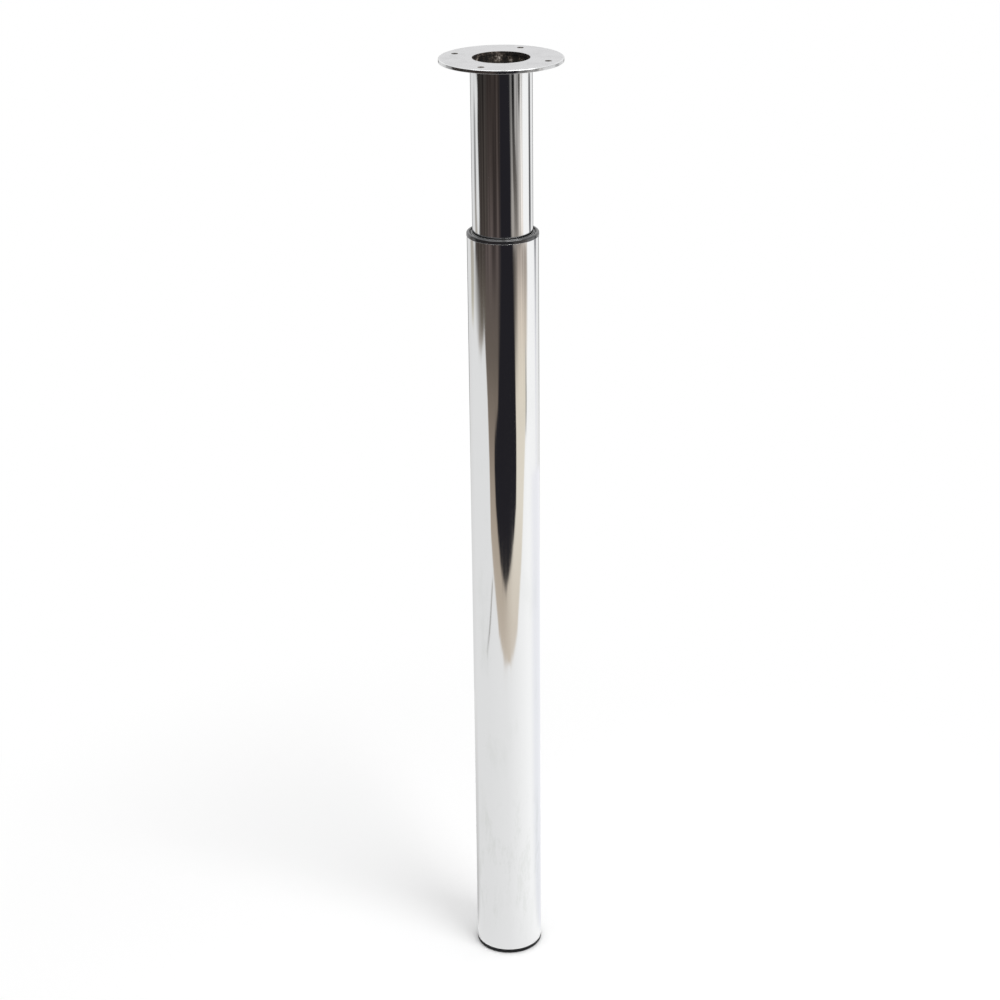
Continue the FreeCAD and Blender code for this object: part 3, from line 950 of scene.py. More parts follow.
    def weld_point(self, turn: float, row: float, top: float) -> Vector:
        """Point on the weld's face.

        Args:
            turn: Angle round the tube.
            row: Share of the way from the tube to the flange.
            top: Height of the flange's underside.

        Returns:
            The point.
        """
        swell = math.sin(math.pi * row)
        scale = (turn / math.tau * self.weld_scales + self.weld_scale_bow * swell) % 1
        ripple = self.weld_ripple * (math.sqrt(1 - scale * scale) - self.weld_scale_level)
        raised = swell * (self.weld_bulge + ripple)
        radius = self.tube_radius + self.weld_leg * row + raised * math.sin(self.weld_slope)
        height = top - self.weld_leg * (1 - row) - raised * math.cos(self.weld_slope)
        return Vector((radius * math.cos(turn), radius * math.sin(turn), height))


@dataclass
class Collar:
    """Glossy collar on the outer tube's mouth: a bead, a groove and a lip round the inner tube."""

    bore_radius: float = 25.5 * MILLIMETRE
    skirt_radius: float = 28.45 * MILLIMETRE
    head_radius: float = 30.3 * MILLIMETRE
    head_height: float = 3.5 * MILLIMETRE
    lip_width: float = 1.3 * MILLIMETRE
    lip_drop: float = 0.8 * MILLIMETRE
    groove_width: float = 1.2 * MILLIMETRE
    groove_depth: float = 1.9 * MILLIMETRE
    land_length: float = 10 * MILLIMETRE
    relief: float = 0.6 * MILLIMETRE
    bead_rounding: float = 1.3 * MILLIMETRE
    lip_rounding: float = 0.5 * MILLIMETRE
    small_rounding: float = 0.25 * MILLIMETRE
    steps: int = 288
    plastic: MouldedPlasticFinish = MouldedPlasticFinish(
        "collar_gloss_black",
        colour=(0.010, 0.010, 0.011),
        flow_colour=(0.016, 0.016, 0.018),
        gloss=(0.07, 0.13),
        sheen=1.0,
        grain_depth=0.000002,
    )

    def outline(self) -> TurnedOutline:
        """Section of the collar.

        Returns:
            The section, up its outside and down its bore.
        """
        bottom, top = heights("collar_bush")
        seat = top - self.head_height
        lip = self.bore_radius + self.lip_width
        lip_top = top - self.lip_drop
        bead = lip + self.groove_width
        groove = top - self.groove_depth
        relieved = self.bore_radius + self.relief
        return TurnedOutline(
            (
                Corner(self.bore_radius, bottom),
                Corner(self.skirt_radius, bottom, self.small_rounding),
                Corner(self.skirt_radius, seat),
                Corner(self.head_radius, seat, self.small_rounding),
                Corner(self.head_radius, top, self.bead_rounding),
                Corner(bead, top, self.lip_rounding),
                Corner(bead, groove, self.small_rounding),
                Corner(lip, groove, self.small_rounding),
                Corner(lip, lip_top, self.lip_rounding),
                Corner(self.bore_radius, lip_top, self.lip_rounding),
                Corner(self.bore_radius, top - self.land_length),
                Corner(relieved, top - self.land_length),
                Corner(relieved, bottom + self.land_length),
                Corner(self.bore_radius, bottom + self.land_length),
            )
        )

    def build(self) -> list[Piece]:
        """Makes the collar.

        Returns:
            The collar, alone in a list.
        """
        surface = Surface()
        surface.add_turned(self.outline(), self.steps)
        return [surface.stand_for("collar_bush", "moulded", (self.plastic,), Body.LOWER_LEG)]


@dataclass
class Foot:
    """Black foot: a rounded rim under the tube and a finned, ribbed plug inside it."""

    rim_radius: float = 30 * MILLIMETRE
    rim_height: float = 4 * MILLIMETRE
    rim_rounding: float = 1.5 * MILLIMETRE
    recess_radius: float = 21 * MILLIMETRE
    recess_depth: float = 0.8 * MILLIMETRE
    floor: float = 3.5 * MILLIMETRE
    plug_radius: float = 27.05 * MILLIMETRE
    plug_wall: float = 2.5 * MILLIMETRE
    fin_radius: float = 28.45 * MILLIMETRE
    fin_count: int = 3
    fin_start: float = 3 * MILLIMETRE
    fin_pitch: float = 6 * MILLIMETRE
    fin_thickness: float = 1.2 * MILLIMETRE
    rib_width: float = 2 * MILLIMETRE
    rib_drop: float = 6 * MILLIMETRE
    small_rounding: float = 0.3 * MILLIMETRE
    steps: int = 240
    plastic: MouldedPlasticFinish = MouldedPlasticFinish(
        "foot_black", (0.008, 0.008, 0.009), (0.014, 0.014, 0.015), (0.34, 0.5), sheen=0.12
    )

    def outline(self) -> TurnedOutline:
        """Section of the cup, up its outside over the fins and down its hollow.

        Returns:
            The section.
        """
        top = heights("foot_cap")[1]
        hollow = self.plug_radius - self.plug_wall
        inside = self.recess_depth + self.floor
        corners = [
            Corner(0, self.recess_depth),
            Corner(self.recess_radius, self.recess_depth, self.small_rounding),
            Corner(self.recess_radius, 0, self.small_rounding),
            Corner(self.rim_radius, 0, self.rim_rounding),
            Corner(self.rim_radius, self.rim_height, self.small_rounding),
            Corner(self.plug_radius, self.rim_height),
        ]
        for fin in range(self.fin_count):
            low = self.rim_height + self.fin_start + fin * self.fin_pitch
            high = low + self.fin_thickness
            corners += [
                Corner(self.plug_radius, low),
                Corner(self.fin_radius, low, self.small_rounding),
                Corner(self.fin_radius, high, self.small_rounding),
                Corner(self.plug_radius, high),
            ]
        corners += [
            Corner(self.plug_radius, top, self.small_rounding),
            Corner(hollow, top, self.small_rounding),
            Corner(hollow, inside, self.small_rounding),
            Corner(0, inside),
        ]
        return TurnedOutline(tuple(corners), closed=False)

    def cross(self) -> list[Place]:
        """Level outline of the ribs, which cross in the middle of the cup.

        Returns:
            Its corners, counter-clockwise.
        """
        half = self.rib_width / 2
        end = self.plug_radius - self.plug_wall / 2
        arm = [Vector((half, -half)), Vector((end, -half)), Vector((end, half))]
        quarters = [Matrix.Rotation(math.pi / 2 * quarter, 2) for quarter in range(4)]
        return [tuple(turn @ place) for turn in quarters for place in arm]

    def build(self) -> list[Piece]:
        """Makes the foot.

        Returns:
            The foot, alone in a list.
        """
        top = heights("foot_cap")[1]
        surface = Surface()
        surface.add_turned(self.outline(), self.steps)
        surface.add_prism(self.cross(), self.recess_depth + self.floor / 2, top - self.rib_drop)
        return [surface.stand_for("foot_cap", "moulded", (self.plastic,), Body.LOWER_LEG)]


@dataclass
class Spindle:
    """Hex-headed spindle with a trapezoidal thread down its shank."""

    crest_radius: float = 6 * MILLIMETRE
    root_radius: float = 4.5 * MILLIMETRE
    pitch: float = 3 * MILLIMETRE
    crest_share: float = 0.36
    flank_share: float = 0.13
    head_height: float = 7.5 * MILLIMETRE
    flats_radius: float = 9 * MILLIMETRE
    flat_count: int = 6
    chamfer_slope: float = math.tan(math.radians(30))
    neck_length: float = 34 * MILLIMETRE
    neck_rounding: float = 0.4 * MILLIMETRE
    tip_chamfer: float = 1.5 * MILLIMETRE
    steps: int = 48
    plating: ZincFinish = ZincFinish("zinc_plated_steel")

    def build(self) -> list[Piece]:
        """Makes the spindle.

        Returns:
            The spindle, alone in a list.
        """
        tip, head_top = heights("lock_spindle")
        head_bottom = head_top - self.head_height
        neck_bottom = head_bottom - self.neck_length
        surface = Surface()
        self.add_thread(surface, tip, neck_bottom)
        neck = (
            Corner(self.root_radius, neck_bottom),
            Corner(self.crest_radius, neck_bottom, self.neck_rounding),
            Corner(self.crest_radius, head_bottom),
        )
        surface.add_turned(TurnedOutline(neck, closed=False), self.steps)
        self.add_head(surface, head_bottom, head_top)
        finishes = (self.plating,)
        return [surface.stand_for("lock_spindle", "threaded", finishes, Body.UPPER_LEG)]

    def add_thread(self, surface: Surface, tip: float, top: float) -> None:
        """Adds the threaded stretch, which runs out into its core at both ends.

        Args:
            surface: Where its faces go.
            tip: Height of the spindle's lower end.
            top: Height where the thread ends under the neck.
        """
        crest_end = self.flank_share + self.crest_share
        shares = (0.0, self.flank_share, crest_end, crest_end + self.flank_share)
        radii = (self.root_radius, self.crest_radius, self.crest_radius, self.root_radius)
        turns = math.ceil((top - tip) / self.pitch) + 2
        columns = []
        for step in range(self.steps + 1):
            turn = math.tau * step / self.steps
            column = []
            for lap in range(-1, turns):
                for share, radius in zip(shares, radii):
                    height = tip + (lap + share + step / self.steps) * self.pitch
                    column.append(self.thread_point(turn, height, radius, tip, top))
            columns.append(column)
        for left, right in zip(columns, columns[1:]):
            for row in range(len(left) - 1):
                places = [left[row], right[row], right[row + 1], left[row + 1]]
                lean = (places[2] - places[0]).cross(places[3] - places[1])
                if lean.length > 0:
                    surface.add_face(places, [lean] * 4)
        end = (Corner(0, tip), Corner(self.root_radius - self.tip_chamfer, tip))
        surface.add_turned(TurnedOutline(end, closed=False), self.steps)

    def thread_point(self, turn: float, height: float, radius: float, tip: float, top: float) -> Vector:
        """Point of the thread, held between the ends of the threaded stretch.

        Args:
            turn: Angle round the spindle.
            height: Height along the helix.
            radius: Radius of the thread's section there.
            tip: Lower end of the thread.
            top: Upper end of the thread.

        Returns:
            The point.
        """
        held = min(max(height, tip), top)
        limit = self.root_radius - self.tip_chamfer + (held - tip)
        if held == top:
            limit = self.root_radius
        reach = min(radius, limit)
        return Vector((reach * math.cos(turn), reach * math.sin(turn), held))

    def add_head(self, surface: Surface, bottom: float, top: float) -> None:
        """Adds the chamfered hexagon head.

        Args:
            surface: Where its faces go.
            bottom: Height of its underside.
            top: Height of its upper face.
        """
        turns = [math.tau * step / self.steps for step in range(self.steps + 1)]
        flat_turn = math.tau / self.flat_count
        for start, end in zip(turns, turns[1:]):
            middle = (start + end) / 2
            facing = (math.floor(middle / flat_turn) + 0.5) * flat_turn
            flat = Vector((math.cos(facing), math.sin(facing), 0))
            spokes = [Vector((math.cos(turn), math.sin(turn), 0)) for turn in (start, end)]
            corners = [spoke * (self.flats_radius / spoke.dot(flat)) for spoke in spokes]
            drops = [(corner.length - self.flats_radius) * self.chamfer_slope for corner in corners]
            shoulder = [corner + UP * (top - drop) for corner, drop in zip(corners, drops)]
            foot = [corner + UP * bottom for corner in corners]
            rim = [spoke * self.flats_radius + UP * top for spoke in spokes]
            collar = [spoke * self.crest_radius + UP * bottom for spoke in spokes]
            slants = [(spoke * self.chamfer_slope + UP).normalized() for spoke in spokes]
            surface.add_face([foot[0], foot[1], shoulder[1], shoulder[0]], [flat] * 4)
            surface.add_face(
                [shoulder[0], shoulder[1], rim[1], rim[0]], [slants[0], slants[1], slants[1], slants[0]]
            )
            surface.add_face([rim[0], rim[1], UP * top], [UP] * 3)
            surface.add_face([foot[1], foot[0], collar[0], collar[1]], [-UP] * 4)


@dataclass
class LockPieces:
    """Pieces of the lock that keep the part's own shapes."""

    zinc: ZincFinish = ZincFinish("zinc_plated_fastener")
    plug: MouldedPlasticFinish = MouldedPlasticFinish(
        "plug_black_nylon", (0.030, 0.030, 0.032), (0.050, 0.050, 0.054), (0.42, 0.58), grain_depth=0.00002
    )
    sleeve: MouldedPlasticFinish = MouldedPlasticFinish(
        "sleeve_natural_nylon", (0.78, 0.75, 0.67), (0.70, 0.66, 0.57), (0.36, 0.5)
    )
    cone: MouldedPlasticFinish = MouldedPlasticFinish(
        "cone_grey_acetal", (0.11, 0.11, 0.12), (0.15, 0.15, 0.16), (0.3, 0.42)
    )
    fasteners: tuple[str, ...] = (
        "plug_pins",
        "spindle_washer",
        "spindle_nut",
        "thrust_washer",
        "stop_washer",
        "stop_nut",
    )

    def build(self) -> list[Piece]:
        """Paints the pieces.

        Returns:
            The painted nodes.
        """
        zinc = self.zinc.material()
        mouldings = {"lock_plug": self.plug, "expander_sleeve": self.sleeve, "expander_cone": self.cone}
        painted = [paint_node(node, zinc) for node in self.fasteners]
        painted += [paint_node(node, plastic.material()) for node, plastic in mouldings.items()]
        return painted


def between(table: Rows, position: float) -> tuple[float, ...]:
    """Values of a table at a position, straight between the rows on either side.

    Args:
        table: Rows in order, each with its position first.
        position: Where the values are wanted.

    Returns:
        The values there.
    """
    if position <= table[0][0]:
        return table[0][1:]
    for low, high in zip(table, table[1:]):
        if position <= high[0]:
            share = (position - low[0]) / (high[0] - low[0])
            return tuple(first + (last - first) * share for first, last in zip(low[1:], high[1:]))
    return table[-1][1:]


def ease(position: float, start: float, end: float) -> float:
    """Smooth step from nought at start to one at end."""
    share = min(max((position - start) / (end - start), 0.0), 1.0)
    return share * share * (3 - 2 * share)


@dataclass(frozen=True)
class PaintedReflection:
    """Painted reflection: a glowing screen lying on the studio floor, out of view, that only shiny surfaces
    show.

    Each table has one row for a distance from the leg's axis, except the shading. Bearings are in
    degrees from the camera's side and grow to its right.

    Attributes:
        edges: Left and right bearing of the screen.
        softness: Width in degrees over which each of those edges fades.
        tones: Red, green and blue of the screen.
        streaks: Strength of the streaks that run away from the leg.
        shading: Brightness by bearing, on the far part of the screen.
        streak_turn: Width of a streak in degrees.
        streak_drift: Change of the streaks with the distance.
        fine_streaks: Number of fine streaks to a wide one.
        fine_share: Strength of the fine streaks beside the wide ones.
        far_part: Distances over which the streaks and the shading set in.
        end: Distance where the screen stops.
    """

    edges: Rows
    softness: Rows
    tones: Rows
    streaks: float = 0.0
    shading: Rows = ((0.0, 1.0),)
    streak_turn: float = 9.0
    streak_drift: float = 0.3
    fine_streaks: float = 2.7
    fine_share: float = 0.6
    far_part: Span = (1.4, 2.1)
    end: float = math.inf

    def cover(self, bearing: float, distance: float) -> float:
        """Share of the screen in what lies at a place.

        Args:
            bearing: Bearing of the place.
            distance: Distance of the place.

        Returns:
            One well inside the screen, nought outside it.
        """
        if not self.edges[0][0] <= distance <= self.end:
            return 0.0
        left, right = between(self.edges, distance)
        left_fade, right_fade = (width / 2 for width in between(self.softness, distance))
        inside = ease(bearing, left - left_fade, left + left_fade)
        return inside * (1 - ease(bearing, right - right_fade, right + right_fade))

    def tone(self, bearing: float, distance: float) -> Vector:
        """Colour of the screen at a place.

        Args:
            bearing: Bearing of the place.
            distance: Distance of the place.

        Returns:
            The colour.
        """
        far = ease(distance, *self.far_part)
        shade = 1 + (between(self.shading, bearing)[0] - 1) * far
        turn = bearing / self.streak_turn
        along = distance * self.streak_drift
        wide = noise.noise(Vector((turn, along, 0)))
        fine = noise.noise(Vector((turn * self.fine_streaks, along, self.fine_streaks)))
        streak = math.exp(self.streaks * far * (wide + self.fine_share * fine))
        return Vector(between(self.tones, distance)) * shade * streak


@dataclass(frozen=True)
class Lamp:
    """Round soft lamp, placed as the camera sees it."""

    name: str
    place: Triple
    size: float
    power: float


@dataclass(frozen=True)
class HighlightPanel:
    """Painted highlight: a glowing panel, no lamp, that only shiny surfaces show, placed as the camera sees
    it.
    """

    name: str
    place: Triple
    glow: float
    width: float = 2.2
    height: float = 1.0


@dataclass
class Studio:
    """Pale floor, soft light, the painted reflections and highlights that the chrome shows, and the camera.
    """

    screens: tuple[PaintedReflection, ...]
    view_turn: float = math.radians(-22)
    camera_place: Triple = (0.0, -1.79507, 1.20786)
    camera_yaw: float = -0.0026
    camera_pitch: float = 0.3994
    camera_roll: float = -0.0106
    focal_share: float = 2.22778
    sensor_width: float = 36.0
    floor_radius: float = 14.0
    floor_steps: int = 96
    floor_drop: float = 0.0002
    floor_colour: Colour = (0.97, 0.97, 0.97)
    floor_fade: Span = (0.29, 0.66)
    sky_fill: float = 0.832
    key_lamp: Lamp = Lamp("key_lamp", (1.60, -1.64, 2.10), 1.9, 37.0)
    # Glowing panels that paint the lamps' highlights on shiny surfaces; they light nothing.
    highlight_panels: tuple[HighlightPanel, ...] = (
        HighlightPanel("painted_highlight_1", (1.26, -1.40, 2.45), 6.0),
        HighlightPanel("painted_highlight_2", (-1.00, -1.60, 2.45), 3.0),
    )
    # Painted light and shade of the reflected white paper round the leg, by bearing: darker behind the leg,
    # brightest to its right
    paper_light_and_shade: Rows = (
        (-180.0, 0.70),
        (-150.0, 0.78),
        (-120.0, 0.86),
        (-60.0, 0.87),
        (0.0, 0.91),
        (40.0, 1.0),
        (80.0, 1.09),
        (115.0, 1.06),
        (140.0, 0.92),
        (180.0, 0.74),
    )
    screen_start: float = 0.031
    screen_fade: Span = (0.031, 0.036)
    screen_reach: float = 4.5
    screen_lift: float = 0.002
    # Heights between which the wall at the end of the sheet fades out, and bearings of its sides
    wall_fade: Span = (1.6, 3.2)
    wall_sides: Span = (100.0, 130.0)
    bearing_steps: int = 320
    distance_steps: int = 190

    def from_view(self, place: Sequence[float]) -> Vector:
        """Place in the part's frame of one that is given as the camera sees it."""
        return Matrix.Rotation(self.view_turn, 3, "Z") @ Vector(place)

    def build(self) -> list[Piece]:
        """Sets the studio up.

        Returns:
            What stands in it, apart from the camera and the lamp.
        """
        scene = bpy.context.scene
        scene.view_settings.view_transform = "Standard"
        scene.camera = self.camera()
        self.light_sky()
        self.hang_lamp()
        staged = [self.floor(), self.painted_reflected_room()]
        staged += [self.panel(highlight_panel) for highlight_panel in self.highlight_panels]
        return staged

    def camera(self) -> Piece:
        """Camera at the photograph's viewpoint.

        Returns:
            The camera.
        """
        data = bpy.data.cameras.new("photo_camera")
        data.sensor_width = self.sensor_width
        data.lens = self.sensor_width * self.focal_share
        yaw = self.camera_yaw
        level = math.cos(self.camera_pitch)
        ahead = Vector((math.sin(yaw) * level, math.cos(yaw) * level, -math.sin(self.camera_pitch)))
        right = Vector((math.cos(yaw), -math.sin(yaw), 0))
        above = right.cross(ahead)
        tilt = Matrix.Rotation(-self.camera_roll, 3, ahead)
        axes = [self.from_view(axis) for axis in (tilt @ right, tilt @ above, -ahead)]
        camera = bpy.data.objects.new("photo_camera", data)
        turn = Matrix(axes).transposed().to_4x4()
        camera.matrix_world = Matrix.Translation(self.from_view(self.camera_place)) @ turn
        bpy.context.scene.collection.objects.link(camera)
        return camera

    def light_sky(self) -> None:
        """Even soft light from all round, white where it is seen."""
        world = bpy.data.worlds.new("studio_sky")
        world.use_nodes = True
        bpy.context.scene.world = world
        sheet = NodeSheet(world.node_tree)
        fill, shown = (
            sheet.add("ShaderNodeBackground", {"Color": WHITE, "Strength": strength}).outputs["Background"]
            for strength in (self.sky_fill, 1.0)
        )
        sheet.add("ShaderNodeOutputWorld", {"Surface": sheet.mix(sheet.seen_directly(), fill, shown)})

    def aim(self, thing: Piece, place: Triple, front: str) -> None:
        """Hangs a lamp or a panel so that it looks at the foot.

        Args:
            thing: What is hung.
            place: Where it hangs, as the camera sees it.
            front: Its own axis that points at the foot.
        """
        thing.location = self.from_view(place)
        thing.rotation_mode = "QUATERNION"
        thing.rotation_quaternion = (-self.from_view(place)).to_track_quat(front, "Y")

    def hang_lamp(self) -> None:
        """Hangs the lamp that throws the shadow."""
        lamp = self.key_lamp
        data = bpy.data.lights.new(lamp.name, "AREA")
        data.shape = "DISK"
        data.size = lamp.size
        data.energy = lamp.power
        hung = bpy.data.objects.new(lamp.name, data)
        self.aim(hung, lamp.place, "-Z")
        hung.visible_glossy = False
        bpy.context.scene.collection.objects.link(hung)

    def panel(self, highlight_panel: HighlightPanel) -> Piece:
        """Makes a glowing panel that paints a highlight.

        Args:
            highlight_panel: Its place, size and brightness.

        Returns:
            The panel, which looks at the foot.
        """
        material, sheet = new_material(highlight_panel.name)
        # The panel glows as a painted highlight; it is no lamp.
        sheet.show(sheet.glow(WHITE, highlight_panel.glow))
        half_width = highlight_panel.width / 2
        half_height = highlight_panel.height / 2
        signs = ((-1, -1), (1, -1), (1, 1), (-1, 1))
        surface = Surface()
        surface.add_flat([[(x * half_width, y * half_height) for x, y in signs]], 0.0, Facing.UP)
        panel = surface.make(highlight_panel.name, [material])
        self.aim(panel, highlight_panel.place, "Z")
        self.show_to_shiny_only(panel)
        return panel

    def show_to_shiny_only(self, piece: Piece) -> None:
        """Hides a piece of the studio from all but mirror-like surfaces.

        Args:
            piece: What is hidden.
        """
        piece.visible_camera = False
        piece.visible_diffuse = False
        piece.visible_transmission = False
        piece.visible_volume_scatter = False
        piece.visible_shadow = False

    def floor(self) -> Piece:
        """Pale floor that takes the leg's shadow and fades to plain white further off.

        Returns:
            The floor.
        """
        material, sheet = new_material("pale_floor")
        plain = sheet.add("ShaderNodeBsdfDiffuse", {"Color": (*self.floor_colour, 1)}).outputs["BSDF"]
        far = sheet.spread(sheet.axis_distance(), self.floor_fade)
        share = sheet.product(far, sheet.seen_directly())
        sheet.show(sheet.mix(share, plain, sheet.glow(WHITE)))
        surface = Surface()
        surface.add_flat([circle(self.floor_radius, self.floor_steps)], -self.floor_drop, Facing.UP)
        return surface.make("studio_floor", [material])

    def painted_reflected_room(self) -> Piece:
        """Lays the painted reflections out as one glowing sheet round the leg, turned up to a wall at its
        front.

        Returns:
            The sheet, which only shiny surfaces show.
        """
        growth = (self.screen_reach / self.screen_start) ** (1 / self.distance_steps)
        distances = [self.screen_start * growth**step for step in range(self.distance_steps + 1)]
        rows = [Corner(distance, self.screen_lift) for distance in distances]
        rows += [Corner(self.screen_reach, height) for height in self.wall_fade]
        surface = Surface()
        surface.add_turned(TurnedOutline(tuple(rows), closed=False), self.bearing_steps)
        room = surface.make("painted_reflected_room", [self.glowing_tones()])
        layer = room.data.color_attributes.new("tone", "FLOAT_COLOR", "POINT")
        for vertex, entry in zip(room.data.vertices, layer.data):
            entry.color = self.room_tone(vertex.co)
        self.show_to_shiny_only(room)
        return room

    def glowing_tones(self) -> Material:
        """Material that glows in the sheet's own tones as a painted reflection, and is clear where their
        cover ends.

        Returns:
            The material.
        """
        material, sheet = new_material("painted_room_tones")
        tone = sheet.add("ShaderNodeVertexColor", layer_name="tone").outputs
        clear = sheet.add("ShaderNodeBsdfTransparent").outputs["BSDF"]
        sheet.show(sheet.mix(tone["Alpha"], clear, sheet.glow(tone["Color"])))
        return material

    def room_tone(self, place: Vector) -> tuple[float, float, float, float]:
        """Colour and cover of the sheet at a place.

        Args:
            place: Place in the part's frame.

        Returns:
            Red, green, blue and cover.
        """
        seen = Matrix.Rotation(-self.view_turn, 3, "Z") @ place
        bearing = math.degrees(math.atan2(seen.x, -seen.y))
        distance = math.hypot(seen.x, seen.y)
        # Painted light and shade of the paper, by bearing.
        colour = Vector((1, 1, 1)) * between(self.paper_light_and_shade, bearing)[0]
        for screen in self.screens:
            for turned in (bearing, bearing + FULL_TURN):
                cover = screen.cover(turned, distance)
                if cover > 0:
                    colour = colour.lerp(screen.tone(turned, distance), cover)
        if seen.z < self.wall_fade[0] / 2:
            return (*colour, ease(distance, *self.screen_fade))
        side = 1 - ease(abs(bearing), *self.wall_sides)
        return (*colour, side * (1 - ease(seen.z, *self.wall_fade)))


def middle_screens() -> tuple[PaintedReflection, ...]:
    """Painted reflections that give the chrome its brown and beige strips, with the seam and the slats in
    them.

    Returns:
        The screens, each laid over the ones before it.
    """
    beige = PaintedReflection(
        edges=(
            (0.615, -2, 8), (0.63, -8, 15), (0.65, -13, 24), (0.70, -25, 36), (0.88, -42, 51),
            (1.0, -50, 58), (1.24, -52, 67), (1.5, -56, 76), (1.8, -63, 80), (2.15, -62, 83), (3.1, -60, 80),
        ),
        softness=((0.6, 4, 5), (1.0, 2, 3), (1.5, 3, 5), (1.9, 4, 12), (2.2, 6, 8), (2.6, 6, 6)),
        tones=(
            (0.60, 0.70, 0.62, 0.53), (1.10, 0.86, 0.80, 0.69), (1.55, 0.82, 0.75, 0.63),
            (1.90, 0.60, 0.53, 0.45), (2.25, 0.38, 0.33, 0.29), (3.80, 0.42, 0.38, 0.35),
        ),
        streaks=0.5,
        shading=((20, 0.3), (38, 0.42), (48, 0.85), (65, 1.15), (90, 1.3)),
    )
    seam = PaintedReflection(
        edges=((1.38, 71.5, 76), (1.5, 73.5, 78.5), (1.62, 73, 78), (1.75, 73, 77)),
        softness=((1.38, 2, 2),),
        tones=((1.38, 0.60, 0.57, 0.53), (1.46, 0.40, 0.38, 0.35), (1.78, 0.60, 0.57, 0.53)),
        end=1.78,
    )
    slats = PaintedReflection(
        edges=((2.35, 27, 83), (4.5, 27, 81)),
        softness=((2.35, 4, 6),),
        tones=((2.35, 0.40, 0.37, 0.34), (3.0, 0.44, 0.42, 0.40), (4.0, 0.44, 0.43, 0.42)),
        streaks=0.9,
        shading=((27, 0.25), (36, 0.7), (50, 0.8), (60, 1.0), (70, 1.5), (82, 2.3)),
        streak_turn=6.0,
        far_part=(2.3, 2.45),
    )
    dark_slat = PaintedReflection(
        edges=((2.35, 51, 57), (2.85, 40, 56), (3.3, 38, 47), (3.7, 37, 47), (4.4, 36, 47)),
        softness=((2.35, 5, 5), (3.3, 3, 3)),
        tones=(
            (2.35, 0.24, 0.22, 0.20), (2.85, 0.12, 0.11, 0.10),
            (3.3, 0.06, 0.057, 0.055), (3.7, 0.01, 0.01, 0.01),
        ),
    )
    far_slat = PaintedReflection(
        edges=((3.35, 65, 66), (3.7, 62, 71), (4.4, 61, 71)),
        softness=((3.35, 3, 3),),
        tones=((3.35, 0.40, 0.39, 0.38), (3.7, 0.10, 0.095, 0.09)),
    )
    brown = PaintedReflection(
        edges=(
            (0.615, -2, 5), (0.63, -8, 6), (0.65, -13, 6), (0.70, -25, 6), (0.88, -42, 6),
            (1.0, -50, 6), (1.24, -52, 6), (1.5, -56, 6), (1.8, -63, 6), (2.15, -62, 6),
        ),
        softness=((0.6, 4, 40), (1.0, 2, 40), (1.5, 3, 40), (1.9, 4, 40), (2.2, 6, 40)),
        tones=(
            (0.60, 0.62, 0.54, 0.45), (1.05, 0.44, 0.37, 0.30), (1.35, 0.27, 0.22, 0.18),
            (1.70, 0.155, 0.128, 0.108), (2.25, 0.10, 0.080, 0.075), (3.00, 0.058, 0.046, 0.042),
            (3.80, 0.042, 0.033, 0.030),
        ),
        streaks=1.3,
        streak_turn=7.0,
        far_part=(1.9, 2.6),
    )
    return beige, seam, slats, dark_slat, far_slat, brown


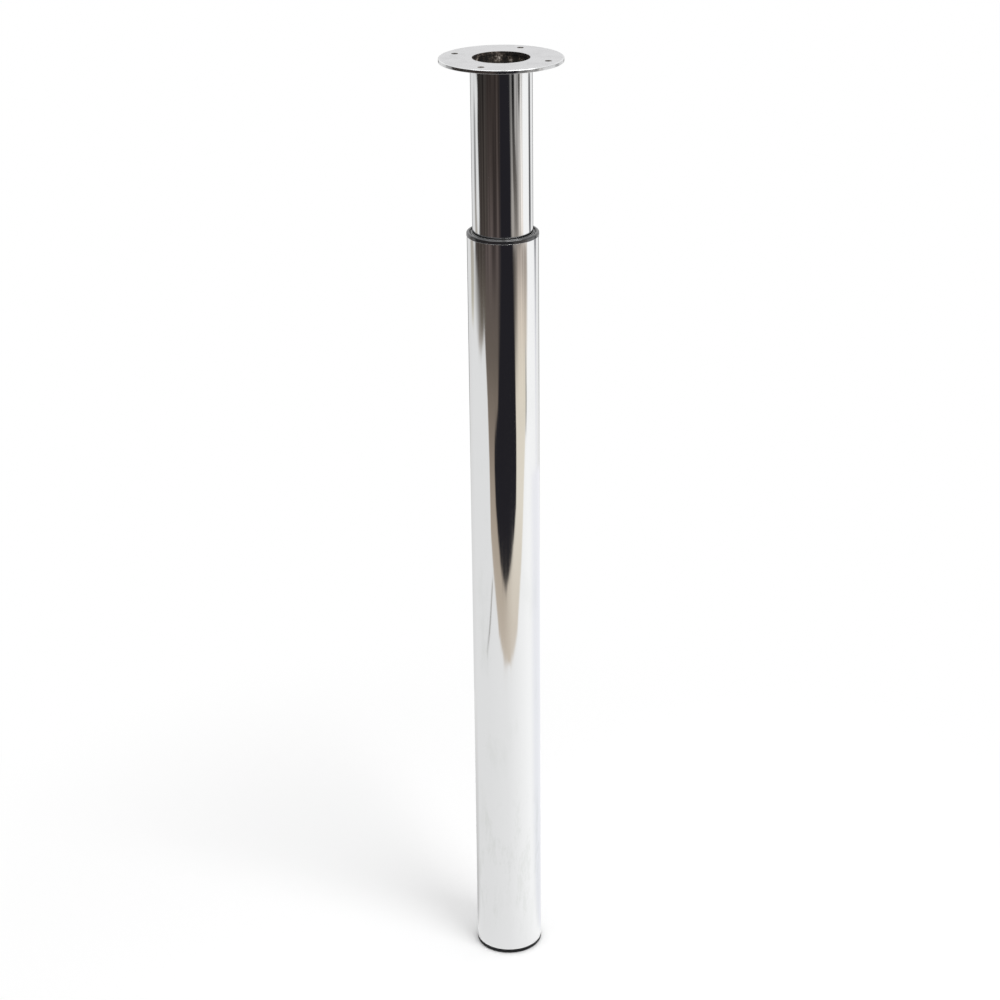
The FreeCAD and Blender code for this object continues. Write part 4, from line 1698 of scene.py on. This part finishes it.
def side_screens() -> tuple[PaintedReflection, ...]:
    """Painted reflections that show towards the sides of the tubes, with the leg's painted shadow.

    Returns:
        The screens, each laid over the ones before it.
    """
    far_left = PaintedReflection(
        edges=(
            (1.74, -86, -76), (1.80, -91, -70), (1.87, -91, -60), (2.04, -96, -58), (2.31, -101, -58),
            (2.55, -97, -58), (3.3, -102, -58), (3.7, -99, -58), (3.92, -103, -58), (4.05, -124, -58),
        ),
        softness=(
            (1.74, 12, 8), (1.80, 16, 8), (1.87, 32, 8), (2.04, 42, 8),
            (2.31, 14, 8), (2.6, 6, 8), (3.9, 6, 8), (4.05, 20, 8),
        ),
        tones=(
            (1.74, 0.62, 0.60, 0.57), (1.80, 0.36, 0.32, 0.28), (1.87, 0.17, 0.15, 0.125),
            (2.04, 0.125, 0.105, 0.088), (2.31, 0.072, 0.060, 0.053), (3.80, 0.030, 0.026, 0.024),
        ),
        streaks=1.3,
        streak_turn=7.0,
        far_part=(1.9, 2.6),
    )
    right_post = PaintedReflection(
        edges=((1.2, 124, 130), (2.2, 121, 131), (2.5, 118, 132), (4.4, 117, 131)),
        softness=((1.2, 6, 6),),
        tones=(
            (1.2, 1.0, 1.0, 1.04), (1.8, 0.80, 0.80, 0.85), (2.25, 0.42, 0.42, 0.45),
            (2.5, 0.10, 0.10, 0.105), (3.85, 0.14, 0.14, 0.145), (4.0, 0.80, 0.80, 0.80),
        ),
    )
    left_post = PaintedReflection(
        edges=(
            (1.85, -126, -112), (2.3, -126, -106), (2.6, -128, -115), (3.4, -128, -115), (3.7, -125, -120),
        ),
        softness=((1.85, 8, 8),),
        tones=(
            (1.85, 0.80, 0.78, 0.72), (2.0, 0.55, 0.52, 0.44), (2.4, 0.46, 0.43, 0.39),
            (2.9, 0.24, 0.24, 0.24), (3.5, 0.40, 0.40, 0.40), (3.8, 0.80, 0.80, 0.80),
        ),
    )
    far_right = PaintedReflection(
        edges=((3.98, 27, 150), (4.4, 27, 150)),
        softness=((3.98, 3, 20),),
        tones=((3.98, 0.7, 0.7, 0.7),),
        shading=((27, 0.25), (40, 0.35), (60, 0.55), (87, 0.75), (150, 1.0)),
        far_part=(3.9, 3.97),
    )
    paper_edge = PaintedReflection(
        edges=(
            (0.637, -73, -69), (0.69, -63, -59), (0.742, -57, -52.5), (0.80, -52, -48), (0.86, -47, -43),
        ),
        softness=((0.637, 2, 2),),
        tones=((0.637, 0.50, 0.50, 0.48), (0.7, 0.36, 0.35, 0.34), (0.85, 0.50, 0.48, 0.45)),
        end=0.86,
    )
    # Painted shadow: the leg's shadow on the floor, as the chrome reflects it.
    leg_shade = PaintedReflection(
        edges=((0.03, -179, -118), (0.09, -179, -122), (0.17, -176, -126), (0.5, -170, -132)),
        softness=((0.03, 4, 40), (0.17, 8, 26), (0.5, 12, 20)),
        tones=((0.03, 0.42, 0.42, 0.42), (0.17, 0.65, 0.65, 0.65), (0.5, 0.82, 0.82, 0.82)),
        end=0.5,
    )
    right_tint = PaintedReflection(
        edges=((0.03, 100, 181),),
        softness=((0.03, 30, 2),),
        tones=((0.03, 0.92, 0.93, 0.97), (0.30, 0.96, 0.97, 1.01), (1.2, 0.98, 0.98, 1.02)),
        end=1.2,
    )
    return far_left, right_post, left_post, far_right, paper_edge, leg_shade, right_tint


def dark_screens() -> tuple[PaintedReflection, ...]:
    """Dark painted reflections behind the leg and down the middle of the tubes.

    Returns:
        The screens, each laid over the ones before it.
    """
    back = PaintedReflection(
        edges=((0.9, 172, 188), (1.6, 161, 199)),
        softness=((0.9, 10, 10),),
        tones=((0.9, 0.30, 0.28, 0.26), (1.6, 0.06, 0.055, 0.055)),
        streaks=0.4,
    )
    black = PaintedReflection(
        edges=(
            (0.835, -4, 2), (0.857, -10, 7), (0.88, -15, 13), (0.912, -18.5, 18.5), (0.988, -25, 27.5),
            (1.096, -32, 36), (1.24, -35, 38), (1.37, -33, 38.5), (1.42, -27, 38), (1.5, -20.5, 37.5),
            (1.8, -16, 36.5), (2.17, -12, 34.5), (2.55, -10, 31), (2.9, -9, 32), (3.3, -8, 30), (4.4, -8, 29),
        ),
        softness=(
            (0.835, 6, 6), (0.9, 4, 4), (1.3, 2.5, 2.5), (1.5, 5, 3),
            (1.9, 14, 8), (2.27, 15, 11), (2.6, 7, 6),
        ),
        tones=((0.835, 0.030, 0.028, 0.028), (1.0, 0.018, 0.017, 0.021)),
    )
    return back, black


def main() -> None:
    """Builds the leg piece by piece, then the studio."""
    logging.basicConfig(level=logging.INFO, format="%(message)s")
    lower_chrome = ChromeFinish("lower_tube_chrome", hazed=(0.765, 0.776, 0.768), smear_heights=(0.01, 0.18))
    sub_assemblies = (
        Tube("outer_tube", Body.LOWER_LEG, 30 * MILLIMETRE, 28.5 * MILLIMETRE, outside=lower_chrome),
        Tube("inner_tube", Body.UPPER_LEG, 25.4 * MILLIMETRE, 23.9 * MILLIMETRE),
        Flange(),
        Collar(),
        Foot(),
        Spindle(),
        LockPieces(),
        Studio(middle_screens() + side_screens() + dark_screens()),
    )
    for sub_assembly in sub_assemblies:
        for piece in sub_assembly.build():
            log.info("%s: %s", type(sub_assembly).__name__, piece.name)


if __name__ == "__main__":
    main()
